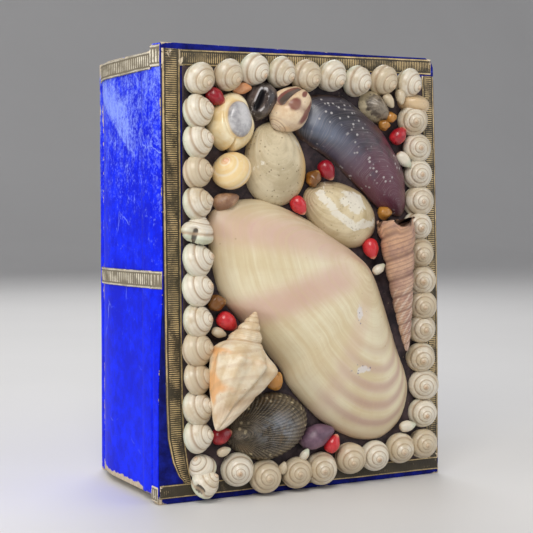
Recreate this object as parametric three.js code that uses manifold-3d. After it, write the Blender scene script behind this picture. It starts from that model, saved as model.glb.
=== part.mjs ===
// Book-shaped pasteboard trinket box with a shell-covered lid, standing on its tail edges.
// Millimetres, +Z up. X runs from the spine to the fore-edge, Y from the lid's face to the rear.
// While building, x = 0 is the spine side, y = 0 the lid's face and z = 0 the ground.
// The finished group is moved so that its origin is the middle of the footprint.
import * as THREE from 'three';
import { mergeVertices } from 'three/addons/utils/BufferGeometryUtils.js';
import Module from 'manifold-3d';

const wasm = await Module();
wasm.setup();

// Driving dimensions
const height = 180;
const lidTopWidth = 129; // handmade, so the lid is out of square
const lidBottomWidth = 133;
const lidBoard = 5.4;
// x of the lid's spine edge at a few heights z: it leans in above the middle
const lidEdge = [[0, 0], [45, 0.2], [68, 1.3], [84, 2.1], [100, 2.1], [140, 1.6], [180, 1.3]];
const totalDepth = 78;
const squares = 2.8; // how far the lid stands past the case at head and tail
const rearBoard = 4.2;
const rearBoardTop = 178.4;
const wall = 3.2;
const caseWidth = 129;
const caseFront = 6.3; // leaves the lid free to swing
const coverBoard = 2; // curved pasteboard of the spine
const spineFlatEnd = 45.5; // the spine is flat up to here, then rounds inwards
const spineRadius = 65;
const innerWallX = 11.5; // left face of the tray's spine-side wall
const innerWallThick = 2.4;
const foreEdgeSetback = 0.8; // of the case's fore-edge wall, behind the rear board's edge
const liningThick = 0.6; // of the tray's lining
const paper = 0.3;
const glueLine = 0.1; // between two pasted layers
const trimThickness = 0.4;
const trimWidth = 7;
const middleBand = [84.5, 91.5]; // z of the band across the middle
const hingePaperEnd = 16; // y to which the covering paper of the crease reaches
const hingePaperClear = 0.4; // it stops short of head and tail
const innerHinge = { bottom: 12, top: 168, width: 9, lidStart: 4.2, depth: 0.15 };
const bed = 1.8; // putty that holds the shells
const gap = 0.35; // between neighbouring shells

const rearBoardFront = totalDepth - rearBoard;
const caseRear = rearBoardFront - glueLine;
const caseTop = height - squares;
const bandOut = -paper - 2 * glueLine; // outer face of the hinge paper, less a glue line

const colours = {
  bluePaper: 0x2038d8,
  navyPaper: 0x14146e,
  creamBoard: 0xd9cdb4,
  lining: 0xe9e0cb,
  tarnishedGilt: 0x6f6240,
  silverGilt: 0xa7a18c,
  putty: 0x2a1c24,
  pearl: 0xe4dfcf,
  clam: 0xe6cfb0,
  mussel: 0x2b2534,
  chalk: 0xe2d6b8,
  cowrie: 0xcfc9b8,
  snail: 0xdcc69a,
  greyShell: 0x5a5450,
  striped: 0xb4745c,
  turret: 0xb99a86,
  conch: 0xead8bd,
  ribbed: 0x4a4540,
  purple: 0x6c5060,
  redSeed: 0xb5121f,
  amberSeed: 0xa0642a,
};

const root = new THREE.Group();

function add(name, geometry, colour, roughness = 0.7, metalness = 0) {
  const material = new THREE.MeshStandardMaterial({ color: colour, roughness, metalness });
  const mesh = new THREE.Mesh(geometry, material);
  mesh.name = name;
  root.add(mesh);
  return mesh;
}

// ---- solids ----------------------------------------------------------------------------------

function box(x0, x1, y0, y1, z0, z1) {
  const geometry = new THREE.BoxGeometry(x1 - x0, y1 - y0, z1 - z0);
  return geometry.translate((x0 + x1) / 2, (y0 + y1) / 2, (z0 + z1) / 2);
}

// An outline in the lid's plane (x, z), made solid from y0 back to y1.
function slab(points, y0, y1) {
  const shape = new THREE.Shape(points.map(([x, z]) => new THREE.Vector2(x, z)));
  const geometry = new THREE.ExtrudeGeometry(shape, { depth: y1 - y0, bevelEnabled: false });
  return geometry.rotateX(Math.PI / 2).translate(0, y1, 0);
}

// An outline seen from above (x, y), made solid from z0 up to z1.
function prism(points, z0, z1) {
  const shape = new THREE.Shape(points.map(([x, y]) => new THREE.Vector2(x, y)));
  return new THREE.ExtrudeGeometry(shape, { depth: z1 - z0, bevelEnabled: false }).translate(0, 0, z0);
}

function toSolid(geometry) {
  const bare = geometry.clone();
  bare.deleteAttribute('normal');
  bare.deleteAttribute('uv');
  const merged = mergeVertices(bare, 1e-4);
  const vertProperties = new Float32Array(merged.attributes.position.array);
  const triVerts = new Uint32Array(merged.index.array);
  return new wasm.Manifold(new wasm.Mesh({ numProp: 3, vertProperties, triVerts }));
}

function toGeometry(solid) {
  const { vertProperties, triVerts } = solid.getMesh();
  const geometry = new THREE.BufferGeometry();
  geometry.setAttribute('position', new THREE.BufferAttribute(vertProperties, 3));
  geometry.setIndex(new THREE.BufferAttribute(triVerts, 1));
  geometry.computeVertexNormals();
  return geometry;
}

// ---- the case --------------------------------------------------------------------------------

// The spine's outer line seen from above, moved inwards by inset: flat, then an arc to the rear.
function spineLine(inset, yStart, yEnd) {
  const radius = spineRadius - inset;
  const endAngle = Math.asin((yEnd - spineFlatEnd) / radius);
  const steps = 7;
  const points = [[inset, yStart]];
  for (let i = 0; i <= steps; i += 1) {
    const angle = (endAngle * i) / steps;
    points.push([spineRadius - radius * Math.cos(angle), spineFlatEnd + radius * Math.sin(angle)]);
  }
  return points;
}

function skin(insetOut, insetIn, yStart, yEnd, z0, z1) {
  const outer = spineLine(insetOut, yStart, yEnd);
  const inner = spineLine(insetIn, yStart, yEnd).reverse();
  return prism([...outer, ...inner].reverse(), z0, z1);
}

function buildCase() {
  const innerTop = caseTop - wall - glueLine;
  const innerBottom = squares + wall + glueLine;
  const wallRight = caseWidth - foreEdgeSetback;
  const wallLeft = wallRight - wall;
  const spineInside = coverBoard + glueLine;
  const rearCorner = spineLine(0, caseFront, caseRear).at(-1)[0];

  const rear = box(rearCorner, caseWidth, rearBoardFront, totalDepth, 0, rearBoardTop);
  add('rear_board', rear, colours.bluePaper);
  add('spine_cover', skin(0, coverBoard, caseFront, caseRear, squares, caseTop), colours.bluePaper, 0.45);

  // Head and tail walls fill the book's outline inside the spine cover.
  const endSpine = spineLine(spineInside, caseFront, caseRear);
  const endPlate = [...endSpine, [wallRight, caseRear], [wallRight, caseFront]].reverse();
  add('head_wall', prism(endPlate, caseTop - wall, caseTop), colours.creamBoard);
  add('tail_wall', prism(endPlate, squares, squares + wall), colours.creamBoard);
  const trayLeft = innerWallX + innerWallThick;
  const upright = (x0, x1, rear) => box(x0, x1, caseFront, rear, innerBottom, innerTop);
  add('fore_edge_wall', upright(wallLeft, wallRight, caseRear), colours.creamBoard);
  add('spine_inner_wall', upright(innerWallX, trayLeft, caseRear), colours.creamBoard);
  add('front_rail', upright(spineInside, innerWallX - glueLine, caseFront + wall), colours.creamBoard);

  // Paper lining: a five-sided tray pasted inside the walls, open to the lid.
  const liningX = [trayLeft + glueLine, wallLeft - glueLine];
  const liningZ = [innerBottom + glueLine, innerTop - glueLine];
  const liningRear = caseRear - glueLine;
  const liningFront = caseFront + 0.4;
  const block = toSolid(box(...liningX, liningFront, liningRear, ...liningZ));
  const hollowX = [liningX[0] + liningThick, liningX[1] - liningThick];
  const hollowZ = [liningZ[0] + liningThick, liningZ[1] - liningThick];
  const hollow = toSolid(box(...hollowX, liningFront - 5, liningRear - liningThick, ...hollowZ));
  add('tray_lining', toGeometry(block.subtract(hollow)), colours.lining, 0.8);

  // The inner strip is pasted to the rail, the outer paper to the spine cover.
  const stripY = [caseFront - 0.1 - innerHinge.depth, caseFront - 0.1];
  const stripX = [spineInside, spineInside + innerHinge.width];
  const strip = box(...stripX, ...stripY, innerHinge.bottom, innerHinge.top);
  add('inner_hinge_case', strip, colours.navyPaper, 0.6);
  const creaseZ = [squares + hingePaperClear, caseTop - hingePaperClear];
  const crease = box(-glueLine - paper, -glueLine, caseFront, hingePaperEnd, ...creaseZ);
  add('outer_hinge_case', crease, colours.bluePaper, 0.45);

  const band = (z0, z1) => skin(bandOut - trimThickness, bandOut, caseFront, caseRear, z0, z1);
  const headBandTop = caseTop - 0.2;
  add('spine_head_band', band(headBandTop - trimWidth, headBandTop), colours.silverGilt, 0.5, 0.4);
  add('spine_middle_band', band(...middleBand), colours.silverGilt, 0.5, 0.4);
}

// ---- the lid ---------------------------------------------------------------------------------

// x of the lid's fore-edge at height z, bowed outwards in the lower half
function foreEdge(z) {
  const taper = lidBottomWidth + (lidTopWidth - lidBottomWidth) * (z / height);
  return taper + 0.8 * Math.sin((Math.PI * z) / height);
}

// x of its spine edge at height z
function spineEdge(z) {
  const above = lidEdge.findIndex(([mark]) => mark >= z);
  if (above < 1) return lidEdge[0][1];
  const [[z0, x0], [z1, x1]] = [lidEdge[above - 1], lidEdge[above]];
  return x0 + ((x1 - x0) * (z - z0)) / (z1 - z0);
}

function lidOutline(inset) {
  const cornerCut = 4;
  const points = [[inset, inset], [foreEdge(0) - inset, inset]];
  for (const z of [36, 72, 108, 144]) points.push([foreEdge(z) - inset, z]);
  points.push([foreEdge(height) - inset, height - inset - cornerCut]);
  points.push([foreEdge(height) - inset - 1.2, height - inset - 1.2]);
  points.push([foreEdge(height) - inset - cornerCut, height - inset]);
  points.push([spineEdge(height) + inset, height - inset]);
  for (const z of [140, 100, 84, 68, 45]) points.push([spineEdge(z) + inset, z]);
  return points;
}

function buildLid() {
  const liningBack = lidBoard + glueLine + paper;
  add('lid_board', slab(lidOutline(0), 0, lidBoard), colours.navyPaper, 0.5);
  add('lid_lining', slab(lidOutline(4), lidBoard + glueLine, liningBack), colours.lining, 0.8);
  const stripX = [innerHinge.lidStart, innerHinge.lidStart + innerHinge.width];
  const stripY = [liningBack + 0.03, liningBack + 0.03 + innerHinge.depth];
  const strip = box(...stripX, ...stripY, innerHinge.bottom, innerHinge.top);
  add('inner_hinge_lid', strip, colours.navyPaper, 0.6);
  const sideZ = [hingePaperClear, 45, 68, 84, 100, 140, height - hingePaperClear];
  const sideLine = (out) => sideZ.map((z) => [spineEdge(z) - out, z]);
  const side = [...sideLine(glueLine), ...sideLine(glueLine + paper).reverse()];
  add('outer_hinge_lid', slab(side, hingePaperClear, lidBoard), colours.bluePaper, 0.45);

  // Gilt paper strips round the face. The foot of the left strip bends in round the corner.
  const trim = [-glueLine - trimThickness, -glueLine];
  const top = { left: 177.5, right: 179.2 };
  const leftInner = 2.4 + trimWidth;
  const leftStrip = [
    [4.2, 24], [7.6, 12], [11.2, 7.1], [13.6, 7.1], [13.6, 12], [11.8, 24],
    [10, 42], [leftInner, top.left], [2, top.left], [2.8, 42],
  ];
  add('trim_left', slab(leftStrip, ...trim), colours.tarnishedGilt, 0.5, 0.5);
  const rightInner = (z) => foreEdge(z) - trimWidth + 0.4;
  const topStrip = [
    [leftInner + glueLine, top.left - trimWidth + 0.6], [rightInner(175), top.right - trimWidth],
    [foreEdge(176) - 0.8, top.right - trimWidth], [foreEdge(height) - 3, top.right],
    [leftInner + glueLine, top.left],
  ];
  add('trim_top', slab(topStrip, ...trim), colours.tarnishedGilt, 0.5, 0.5);
  const rightStrip = [[rightInner(7), 7]];
  for (const z of [7, 50, 90, 130, 172]) rightStrip.push([foreEdge(z) - 0.6, z]);
  for (const z of [172, 130, 90, 50]) rightStrip.push([rightInner(z), z]);
  add('trim_right', slab(rightStrip, ...trim), colours.tarnishedGilt, 0.5, 0.5);
  const bottomStrip = [[0.2, 1], [foreEdge(0) - 0.6, 0.2], [foreEdge(0) - 0.6, 6.8], [0.2, 7]];
  add('trim_bottom', slab(bottomStrip, ...trim), colours.tarnishedGilt, 0.5, 0.5);

  // The same paper folded on to the lid's hinge side.
  const sideX = (z) => Math.min(...z.map(spineEdge)) + bandOut;
  const sideBands = { lid_band_head: [170.6, 177.6], lid_band_middle: middleBand, lid_band_tail: [1, 7] };
  for (const [name, z] of Object.entries(sideBands)) {
    const fold = box(sideX(z) - trimThickness, sideX(z), 0.2, lidBoard, ...z);
    add(name, fold, colours.silverGilt, 0.5, 0.4);
  }

  const bedOutline = [
    [23.6, 17.4], [60, 15.2], [96, 19], [112, 22], [113.2, 60], [111.4, 110], [109.6, 150], [108, 160.5],
    [60, 162], [22.6, 159.4],
  ];
  add('glue_bed', slab(bedOutline, -bed, -glueLine), colours.putty, 0.6);
}

// ---- shells ----------------------------------------------------------------------------------

const kept = []; // grown solids of everything already placed

// Top-shell border: each row is one body, joined by the putty it is set in.
const topShellRadius = 5.6;

function topShell(x, z, radius) {
  const profile = [[0, 0], [0.92, 0], [1, 0.36], [0.72, 0.84], [0, 1.36]];
  const points = profile.map(([r, h]) => new THREE.Vector2(r * radius, h * radius));
  const geometry = new THREE.LatheGeometry(points, 8);
  return geometry.rotateX(Math.PI).translate(x, -0.9, z);
}

function rowPlaces(from, to, count, bow = 0) {
  return Array.from({ length: count }, (_, i) => {
    const t = i / (count - 1);
    const rise = bow * Math.sin(Math.PI * t);
    return [from[0] + (to[0] - from[0]) * t, from[1] + (to[1] - from[1]) * t + rise];
  });
}

const rows = {
  row_top: rowPlaces([15.9, 166.6], [113.1, 168.1], 9, 2.2),
  row_left: [...rowPlaces([15, 153.5], [14.6, 26.9], 12), [17, 16.5], [18.3, 7.9]],
  row_right: rowPlaces([116.4, 152.6], [121.5, 14.7], 13),
  row_bottom: rowPlaces([31.9, 10.2], [109.7, 13], 7, -2.4),
};

// The strip of putty under a row: the line of places, 3 mm to either side.
function puttyStrip(places) {
  const half = 3;
  const sides = [half, -half].map((offset) => places.map(([x, z], i) => {
    const [ax, az] = places[Math.max(i - 1, 0)];
    const [bx, bz] = places[Math.min(i + 1, places.length - 1)];
    const length = Math.hypot(bx - ax, bz - az);
    return [x - (offset * (bz - az)) / length, z + (offset * (bx - ax)) / length];
  }));
  return slab([...sides[1], ...sides[0].reverse()], -2.7, -0.8);
}

function buildRows() {
  for (const [name, places] of Object.entries(rows)) {
    const shells = places.map(([x, z]) => toSolid(topShell(x, z, topShellRadius)));
    const body = shells.reduce((sum, shell) => sum.add(shell), toSolid(puttyStrip(places)));
    add(name, toGeometry(body), colours.pearl, 0.35);
    kept.push(body);
  }
}

// A domed valve or seed: a sphere whose equator follows the outline (anticlockwise as seen from
// the front), its dome rising towards the front and its back nearly flat on the putty.
function dome({ at, outline, size, tilt = 0, rise, flat = 0.8, lift = 0, sides = 16, rings = 6 }, grow) {
  const [cx, cz] = at;
  let point;
  if (outline) {
    const loop = outline.map(([x, z]) => new THREE.Vector3(x - cx, z - cz, 0));
    const curve = new THREE.CatmullRomCurve3(loop, true, 'centripetal');
    point = (u) => {
      const p = curve.getPointAt(u);
      const stretch = 1 + grow / p.length();
      return [p.x * stretch, p.y * stretch];
    };
  } else {
    const turn = THREE.MathUtils.degToRad(tilt);
    point = (u) => {
      const a = 2 * Math.PI * u;
      const x = (size[0] + grow) * Math.cos(a);
      const z = (size[1] + grow) * Math.sin(a);
      return [x * Math.cos(turn) - z * Math.sin(turn), x * Math.sin(turn) + z * Math.cos(turn)];
    };
  }
  const geometry = new THREE.SphereGeometry(1, sides, rings);
  const position = geometry.attributes.position;
  const seat = bed + glueLine + flat + lift;
  for (let i = 0; i < position.count; i += 1) {
    const angle = Math.atan2(-position.getZ(i), position.getX(i));
    const u = (angle / (2 * Math.PI) + 1) % 1;
    const across = Math.hypot(position.getX(i), position.getZ(i));
    const up = position.getY(i);
    const [x, z] = point(u > 1 - 1e-6 ? 0 : u);
    const out = up > 0 ? up * (rise + grow) : up * (flat + grow);
    position.setXYZ(i, cx + x * across, -(seat + out), cz + z * across);
  }
  return geometry;
}

// A turned shell lying on the lid: from its base end to its tip, radii along the way.
function spire({ from, to, radii, out, roll = 12 }, grow) {
  const [dx, dz] = [to[0] - from[0], to[1] - from[1]];
  const length = Math.hypot(dx, dz);
  const points = [new THREE.Vector2(0, -grow)];
  radii.forEach((r, i) => points.push(new THREE.Vector2(r + grow, (length * i) / (radii.length - 1))));
  points.push(new THREE.Vector2(0, length + grow));
  const geometry = new THREE.LatheGeometry(points, roll);
  geometry.rotateX(Math.PI / 2).rotateY(Math.PI / 2 - Math.atan2(dz, dx));
  return geometry.translate(from[0], -out, from[1]);
}

const clamOutline = [
  [107.4, 56], [100, 76], [94.8, 90.5], [88.8, 96.8], [74.4, 105.7], [56.5, 114.8], [39.2, 119.6],
  [24.1, 116.5], [19.6, 108], [24.5, 83.6], [34.2, 70.9], [51, 52.4], [56.6, 42.7], [70.7, 28.5], [84.3, 21.6],
  [94.7, 19.4], [101.7, 20.6], [109.8, 27.2], [112.6, 41],
];
const musselOutline = [
  [104.6, 142.4], [98.4, 150], [85.1, 159.4], [77.4, 162], [65.1, 161.1], [60.4, 155], [59.6, 146.1],
  [75.1, 136.4], [88.6, 125], [97.5, 117.2], [107.6, 113.8], [110, 124], [109.6, 132.6],
];
const ribbedOutline = [
  [63.7, 34], [56, 40], [44.8, 41.5], [33, 36], [27.3, 25.6], [35, 17], [47.1, 14.3], [59, 19],
  [64.2, 26],
];
const conchRadii = [2, 3.4, 6, 8.6, 11.2, 13, 12.4, 8.6, 6, 3.6, 0.8];
const turretRadii = [8.6, 8.2, 7.6, 7, 6.2, 5.4, 4.6, 3.8, 2.8, 0.6];

// Turned shells: where they lie and how far in front of the lid.
const conch = { from: [19.6, 31], to: [35.4, 74.6], radii: conchRadii, out: 16.5 };
const turret = { from: [104.6, 109.5], to: [110.2, 57], radii: turretRadii, out: 10.8 };

// Domed shells, front-most first: each piece is cut back where one before it stands.
const domed = {
  striped_shell: { colour: colours.striped, at: [54.8, 155.2], size: [12.4, 7.4], tilt: 44, rise: 12 },
  large_clam: {
    colour: colours.clam, at: [66, 70], outline: clamOutline, rise: 17.5, sides: 28, rings: 8,
  },
  mussel: { colour: colours.mussel, at: [86, 143], outline: musselOutline, rise: 13, sides: 24 },
  cream_clam_upper: { colour: colours.chalk, at: [49.9, 134], size: [14.4, 16.8], rise: 9 },
  cream_clam_lower: { colour: colours.chalk, at: [79, 114.3], size: [17.6, 11.6], tilt: -28, rise: 9 },
  money_cowrie: { colour: colours.cowrie, at: [29.4, 149.4], size: [9.6, 11.4], tilt: 12, rise: 10.5 },
  moon_snail: { colour: colours.snail, at: [28.6, 130.6], size: [8, 8], rise: 13 },
  grey_broken_shell: { colour: colours.greyShell, at: [43.2, 158.6], size: [6, 7.8], rise: 9.5 },
  limpet: { colour: colours.greyShell, at: [96, 157.6], size: [8.6, 6.6], tilt: -32, rise: 7 },
  olive_shell: { colour: colours.chalk, at: [116.9, 159.6], size: [7.6, 4.5], rise: 8, lift: 0.6 },
  ribbed_shell: { colour: colours.ribbed, at: [46, 28], outline: ribbedOutline, rise: 14 },
  purple_fragment: { colour: colours.purple, at: [68.6, 22.4], size: [8, 4.6], tilt: 20, rise: 4 },
  brown_ribbed_shell: { colour: colours.turret, at: [27, 118.8], size: [5.4, 3.8], rise: 4.5, sides: 12 },
  orange_fragment: { colour: colours.conch, at: [34.2, 163], size: [3.4, 2.6], rise: 4, sides: 12 },
};
const shells = [
  ['conch', colours.conch, (g) => spire(conch, g)],
  ['turret_shell', colours.turret, (g) => spire(turret, g)],
];
for (const [name, { colour, ...spec }] of Object.entries(domed)) {
  shells.push([name, colour, (g) => dome(spec, g)]);
}

// Seeds: [x, z, tilt, long radius]
const redSeeds = [
  [22.3, 159.2, -35, 4], [72.7, 131.2, 80, 4.2], [59.6, 116.9, -60, 4], [94.2, 98.9, 75, 4.2],
  [107.8, 146.3, 50, 4], [27.2, 71.2, -40, 4.4], [24.6, 26.4, 20, 4.2], [75.7, 18.9, 65, 4],
];
const amberSeeds = [
  [66.6, 128.1, 60, 3.6], [101.2, 113.9, 0, 3.2], [22.7, 78.8, 10, 3.8], [48.6, 46.6, 60, 4],
  [103.8, 153.9, 0, 2.8], [100.8, 150.4, 0, 2.6],
];

function seed([x, z, tilt, long]) {
  const spec = { at: [x, z], size: [long, long * 0.78], tilt, rise: 6, lift: 0.4, sides: 8, rings: 6 };
  return (g) => dome(spec, g);
}

redSeeds.forEach((place, i) => shells.push([`red_seed_${i + 1}`, colours.redSeed, seed(place)]));
amberSeeds.forEach((place, i) => shells.push([`amber_seed_${i + 1}`, colours.amberSeed, seed(place)]));

function buildShells() {
  for (const [name, colour, make] of shells) {
    const solid = kept.reduce((rest, other) => rest.subtract(other), toSolid(make(0)));
    add(name, toGeometry(solid), colour, 0.35);
    kept.push(toSolid(make(gap)));
  }
}

buildCase();
buildLid();
buildRows();
buildShells();

// Origin: middle of the footprint, on the ground
const bounds = new THREE.Box3().setFromObject(root);
const middle = bounds.getCenter(new THREE.Vector3());
root.position.set(-middle.x, -middle.y, -bounds.min.z);

export default root;
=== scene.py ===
import math
import random

import bmesh
import bpy
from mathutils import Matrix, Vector, noise


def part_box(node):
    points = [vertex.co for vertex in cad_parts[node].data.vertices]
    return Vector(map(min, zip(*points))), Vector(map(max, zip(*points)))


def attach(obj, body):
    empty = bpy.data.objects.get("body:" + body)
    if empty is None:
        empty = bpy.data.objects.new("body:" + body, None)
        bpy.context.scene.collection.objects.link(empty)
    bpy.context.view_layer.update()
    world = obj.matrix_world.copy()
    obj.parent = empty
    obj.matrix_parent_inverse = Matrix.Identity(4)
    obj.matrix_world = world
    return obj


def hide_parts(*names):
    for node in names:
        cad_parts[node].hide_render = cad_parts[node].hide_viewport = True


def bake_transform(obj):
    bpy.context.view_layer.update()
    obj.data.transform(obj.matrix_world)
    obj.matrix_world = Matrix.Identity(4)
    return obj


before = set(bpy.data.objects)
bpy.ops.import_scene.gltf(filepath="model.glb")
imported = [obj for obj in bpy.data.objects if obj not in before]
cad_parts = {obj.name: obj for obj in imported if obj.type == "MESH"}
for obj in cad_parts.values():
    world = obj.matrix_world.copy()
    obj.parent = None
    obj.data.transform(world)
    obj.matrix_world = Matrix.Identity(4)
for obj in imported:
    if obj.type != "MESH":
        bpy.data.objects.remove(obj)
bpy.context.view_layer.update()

# A book-shaped box of blue paper, its lid set with seashells. Metres; the dictionaries give
# sizes in millimetres, x from the spine edge and z from the tail of the lid.
mm = 0.001
lidLow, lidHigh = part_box("lid_board")
rng = random.Random(18)


def onLid(x, z, out=0.0):  # a point on the lid's face, out millimetres in front of it
    return Vector((lidLow.x + x * mm, lidLow.y - out * mm, lidLow.z + z * mm))


def mix(a, b, t):
    return a + (b - a) * t


def smooth(low, high, value):
    t = min(max((value - low) / (high - low), 0.0), 1.0)
    return t * t * (3 - 2 * t)


def srgb(red, green, blue):  # 0 to 255 as a painter reads it, to scene-linear
    def linear(v):
        v /= 255
        return v / 12.92 if v <= 0.04045 else ((v + 0.055) / 1.055) ** 2.4
    return (linear(red), linear(green), linear(blue), 1.0)


class Wire:  # one output socket, ready to stand in a sum
    def __init__(self, finish, socket):
        self.finish = finish
        self.socket = socket

    def maths(self, operation, *others):
        return self.finish.node("ShaderNodeMath", dict(operation=operation), [self, *others])

    def __add__(self, other):
        return self.maths("ADD", other)
    __radd__ = __add__

    def __sub__(self, other):
        return self.maths("SUBTRACT", other)

    def __rsub__(self, other):
        return self.finish.node("ShaderNodeMath", dict(operation="SUBTRACT"), [other, self])

    def __mul__(self, other):
        return self.maths("MULTIPLY", other)

    def sin(self):
        return self.maths("SINE")

    def least(self, other):
        return self.maths("MINIMUM", other)

    def under(self, amount, red, green, blue):  # this colour with another laid over it
        return self.finish.blend(amount, self, srgb(red, green, blue))

    def step(self, low, high):  # 0 below low, 1 above high, smooth between; turns round if low > high
        falling = low > high
        ends = (high, low) if falling else (low, high)
        to = (1.0, 0.0) if falling else (0.0, 1.0)
        return self.finish.node(
            "ShaderNodeMapRange", dict(interpolation_type="SMOOTHSTEP"),
            {"Value": self, "From Min": ends[0], "From Max": ends[1], "To Min": to[0], "To Max": to[1]})


class Finish:  # one material and its node tree
    def __init__(self, name):
        self.material = bpy.data.materials.new(name)
        self.material.use_nodes = True
        self.tree = self.material.node_tree
        self.tree.nodes.clear()
        self.surface = self.tree.nodes.new("ShaderNodeBsdfPrincipled")
        output = self.tree.nodes.new("ShaderNodeOutputMaterial")
        self.tree.links.new(self.surface.outputs[0], output.inputs["Surface"])

    def node(self, kind, settings=None, inputs=None, output=0):
        made = self.tree.nodes.new(kind)
        for key, value in (settings or {}).items():
            setattr(made, key, value)
        named = inputs.items() if isinstance(inputs, dict) else enumerate(inputs or [])
        for key, value in named:
            self.feed(made.inputs[key], value)
        return Wire(self, made.outputs[output])

    def feed(self, socket, value):
        if isinstance(value, Wire):
            self.tree.links.new(value.socket, socket)
        else:
            socket.default_value = value

    def place(self):
        return self.node("ShaderNodeTexCoord", output="Object")

    def stretch(self, x, y, z, turn=(0.0, 0.0, 0.0)):
        inputs = {"Vector": self.place(), "Scale": (x, y, z), "Rotation": turn}
        return self.node("ShaderNodeMapping", None, inputs)

    def noise(self, scale, detail=3.0, rough=0.55, bend=0.0, at=None, output=0):
        inputs = {"Vector": at or self.place(), "Scale": scale, "Detail": detail,
                  "Roughness": rough, "Distortion": bend}
        return self.node("ShaderNodeTexNoise", None, inputs, output)

    def cells(self, scale, feature="F1", at=None):
        inputs = {"Vector": at or self.place(), "Scale": scale}
        return self.node("ShaderNodeTexVoronoi", dict(feature=feature), inputs)

    def value(self, name):  # a number kept on the mesh's points
        return self.node("ShaderNodeAttribute", dict(attribute_name=name), output="Fac")

    def blend(self, amount, low, high):
        made = self.tree.nodes.new("ShaderNodeMix")
        made.data_type = "RGBA"
        made.clamp_factor = True
        for key, value in ((0, amount), (6, low), (7, high)):
            self.feed(made.inputs[key], value)
        return Wire(self, made.outputs[2])

    def bump(self, height, distance, strength):
        inputs = {"Height": height, "Distance": distance * mm, "Strength": strength}
        return self.node("ShaderNodeBump", None, inputs)

    def done(self, **sockets):
        for key, value in sockets.items():
            self.feed(self.surface.inputs[key.replace("_", " ")], value)
        return self.material


def makeObject(name, points, faces, values=None, material=None):
    mesh = bpy.data.meshes.new(name)
    mesh.from_pydata([tuple(p) for p in points], [], faces)
    for key, numbers in (values or {}).items():
        mesh.attributes.new(key, "FLOAT", "POINT").data.foreach_set("value", numbers)
    work = bmesh.new()
    work.from_mesh(mesh)
    bmesh.ops.remove_doubles(work, verts=work.verts, dist=2e-6)
    bmesh.ops.dissolve_degenerate(work, edges=work.edges, dist=1e-6)
    loose = [v for v in work.verts if not v.link_faces]
    bmesh.ops.delete(work, geom=loose, context="VERTS")
    bmesh.ops.recalc_face_normals(work, faces=work.faces)
    work.to_mesh(mesh)
    work.free()
    mesh.validate()
    mesh.shade_smooth()
    made = bpy.data.objects.new(name, mesh)
    bpy.context.scene.collection.objects.link(made)
    if material:
        mesh.materials.append(material)
    return made


def gridFaces(rows, columns, wrap=False, start=0):
    faces = []
    for j in range(rows - 1):
        for i in range(columns if wrap else columns - 1):
            a = start + j * columns + i
            b = start + j * columns + (i + 1) % columns
            faces.append((a, b, b + columns, a + columns))
    return faces


def sheetFaces(rows, columns):  # a front grid and the same grid behind, closed round the rim
    stride = columns + 1
    count = (rows + 1) * stride
    faces = gridFaces(rows + 1, stride) + gridFaces(rows + 1, stride, start=count)
    rim = [j * stride for j in range(rows + 1)]
    rim += [rows * stride + i for i in range(1, stride)]
    rim += [j * stride + columns for j in range(rows - 1, -1, -1)]
    rim += list(range(columns - 1, 0, -1))
    faces += [(a, b, b + count, a + count) for a, b in zip(rim, rim[1:] + rim[:1])]
    return faces


class Heap:  # several shapes gathered into one mesh
    def __init__(self):
        self.points = []
        self.faces = []
        self.values = {}

    def add(self, points, faces, **values):
        start = len(self.points)
        self.points += points
        self.faces += [tuple(start + i for i in face) for face in faces]
        for key, numbers in values.items():
            kept = self.values.setdefault(key, [0.0] * start)
            kept += list(numbers)
        for kept in self.values.values():
            kept += [0.0] * (len(self.points) - len(kept))

    def make(self, name, material):
        return makeObject(name, self.points, self.faces, self.values, material)


def finishPiece(piece, body, slot, *nodes):
    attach(piece, body)
    if nodes:
        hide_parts(*nodes)
    return piece


view = dict(azimuth=28.35, drop=2.82, distance=0.55, aim=(-0.0129, -0.0138, 0.0918), lens=90.0)


def makeCamera():
    turn, drop = math.radians(view["azimuth"]), math.radians(view["drop"])
    look = Vector((math.sin(turn) * math.cos(drop), math.cos(turn) * math.cos(drop), -math.sin(drop)))
    data = bpy.data.cameras.new("camera")
    data.lens = view["lens"]
    data.clip_start = 0.01
    camera = bpy.data.objects.new("camera", data)
    camera.location = Vector(view["aim"]) - look * view["distance"]
    camera.rotation_euler = look.to_track_quat("-Z", "Y").to_euler()
    bpy.context.scene.collection.objects.link(camera)
    bpy.context.scene.camera = camera


lamps = [
    dict(name="key", spot=(-0.55, -0.75, 0.85), size=0.6, watts=8.0, colour=(1.0, 0.97, 0.93)),
    dict(name="fill", spot=(0.75, -0.7, 0.45), size=0.9, watts=2.6, colour=(0.95, 0.97, 1.0)),
    dict(name="side", spot=(-1.0, 0.1, 0.35), size=0.7, watts=4.2, colour=(0.96, 0.98, 1.0)),
    dict(name="back", spot=(0.3, 0.9, 0.9), size=0.8, watts=6.0, colour=(1.0, 1.0, 1.0)),
]


def makeLights():
    for lamp in lamps:
        data = bpy.data.lights.new(lamp["name"], "AREA")
        data.size = lamp["size"]
        data.energy = lamp["watts"]
        data.color = lamp["colour"]
        light = bpy.data.objects.new(lamp["name"], data)
        light.location = lamp["spot"]
        aim = Vector(view["aim"]) - light.location
        light.rotation_euler = aim.to_track_quat("-Z", "Y").to_euler()
        bpy.context.scene.collection.objects.link(light)
    world = bpy.data.worlds.new("studio")
    world.use_nodes = True
    world.node_tree.nodes["Background"].inputs[0].default_value = (0.95, 0.96, 1.0, 1)
    world.node_tree.nodes["Background"].inputs[1].default_value = 0.32
    bpy.context.scene.world = world
    bpy.context.scene.view_settings.view_transform = "Standard"


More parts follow.
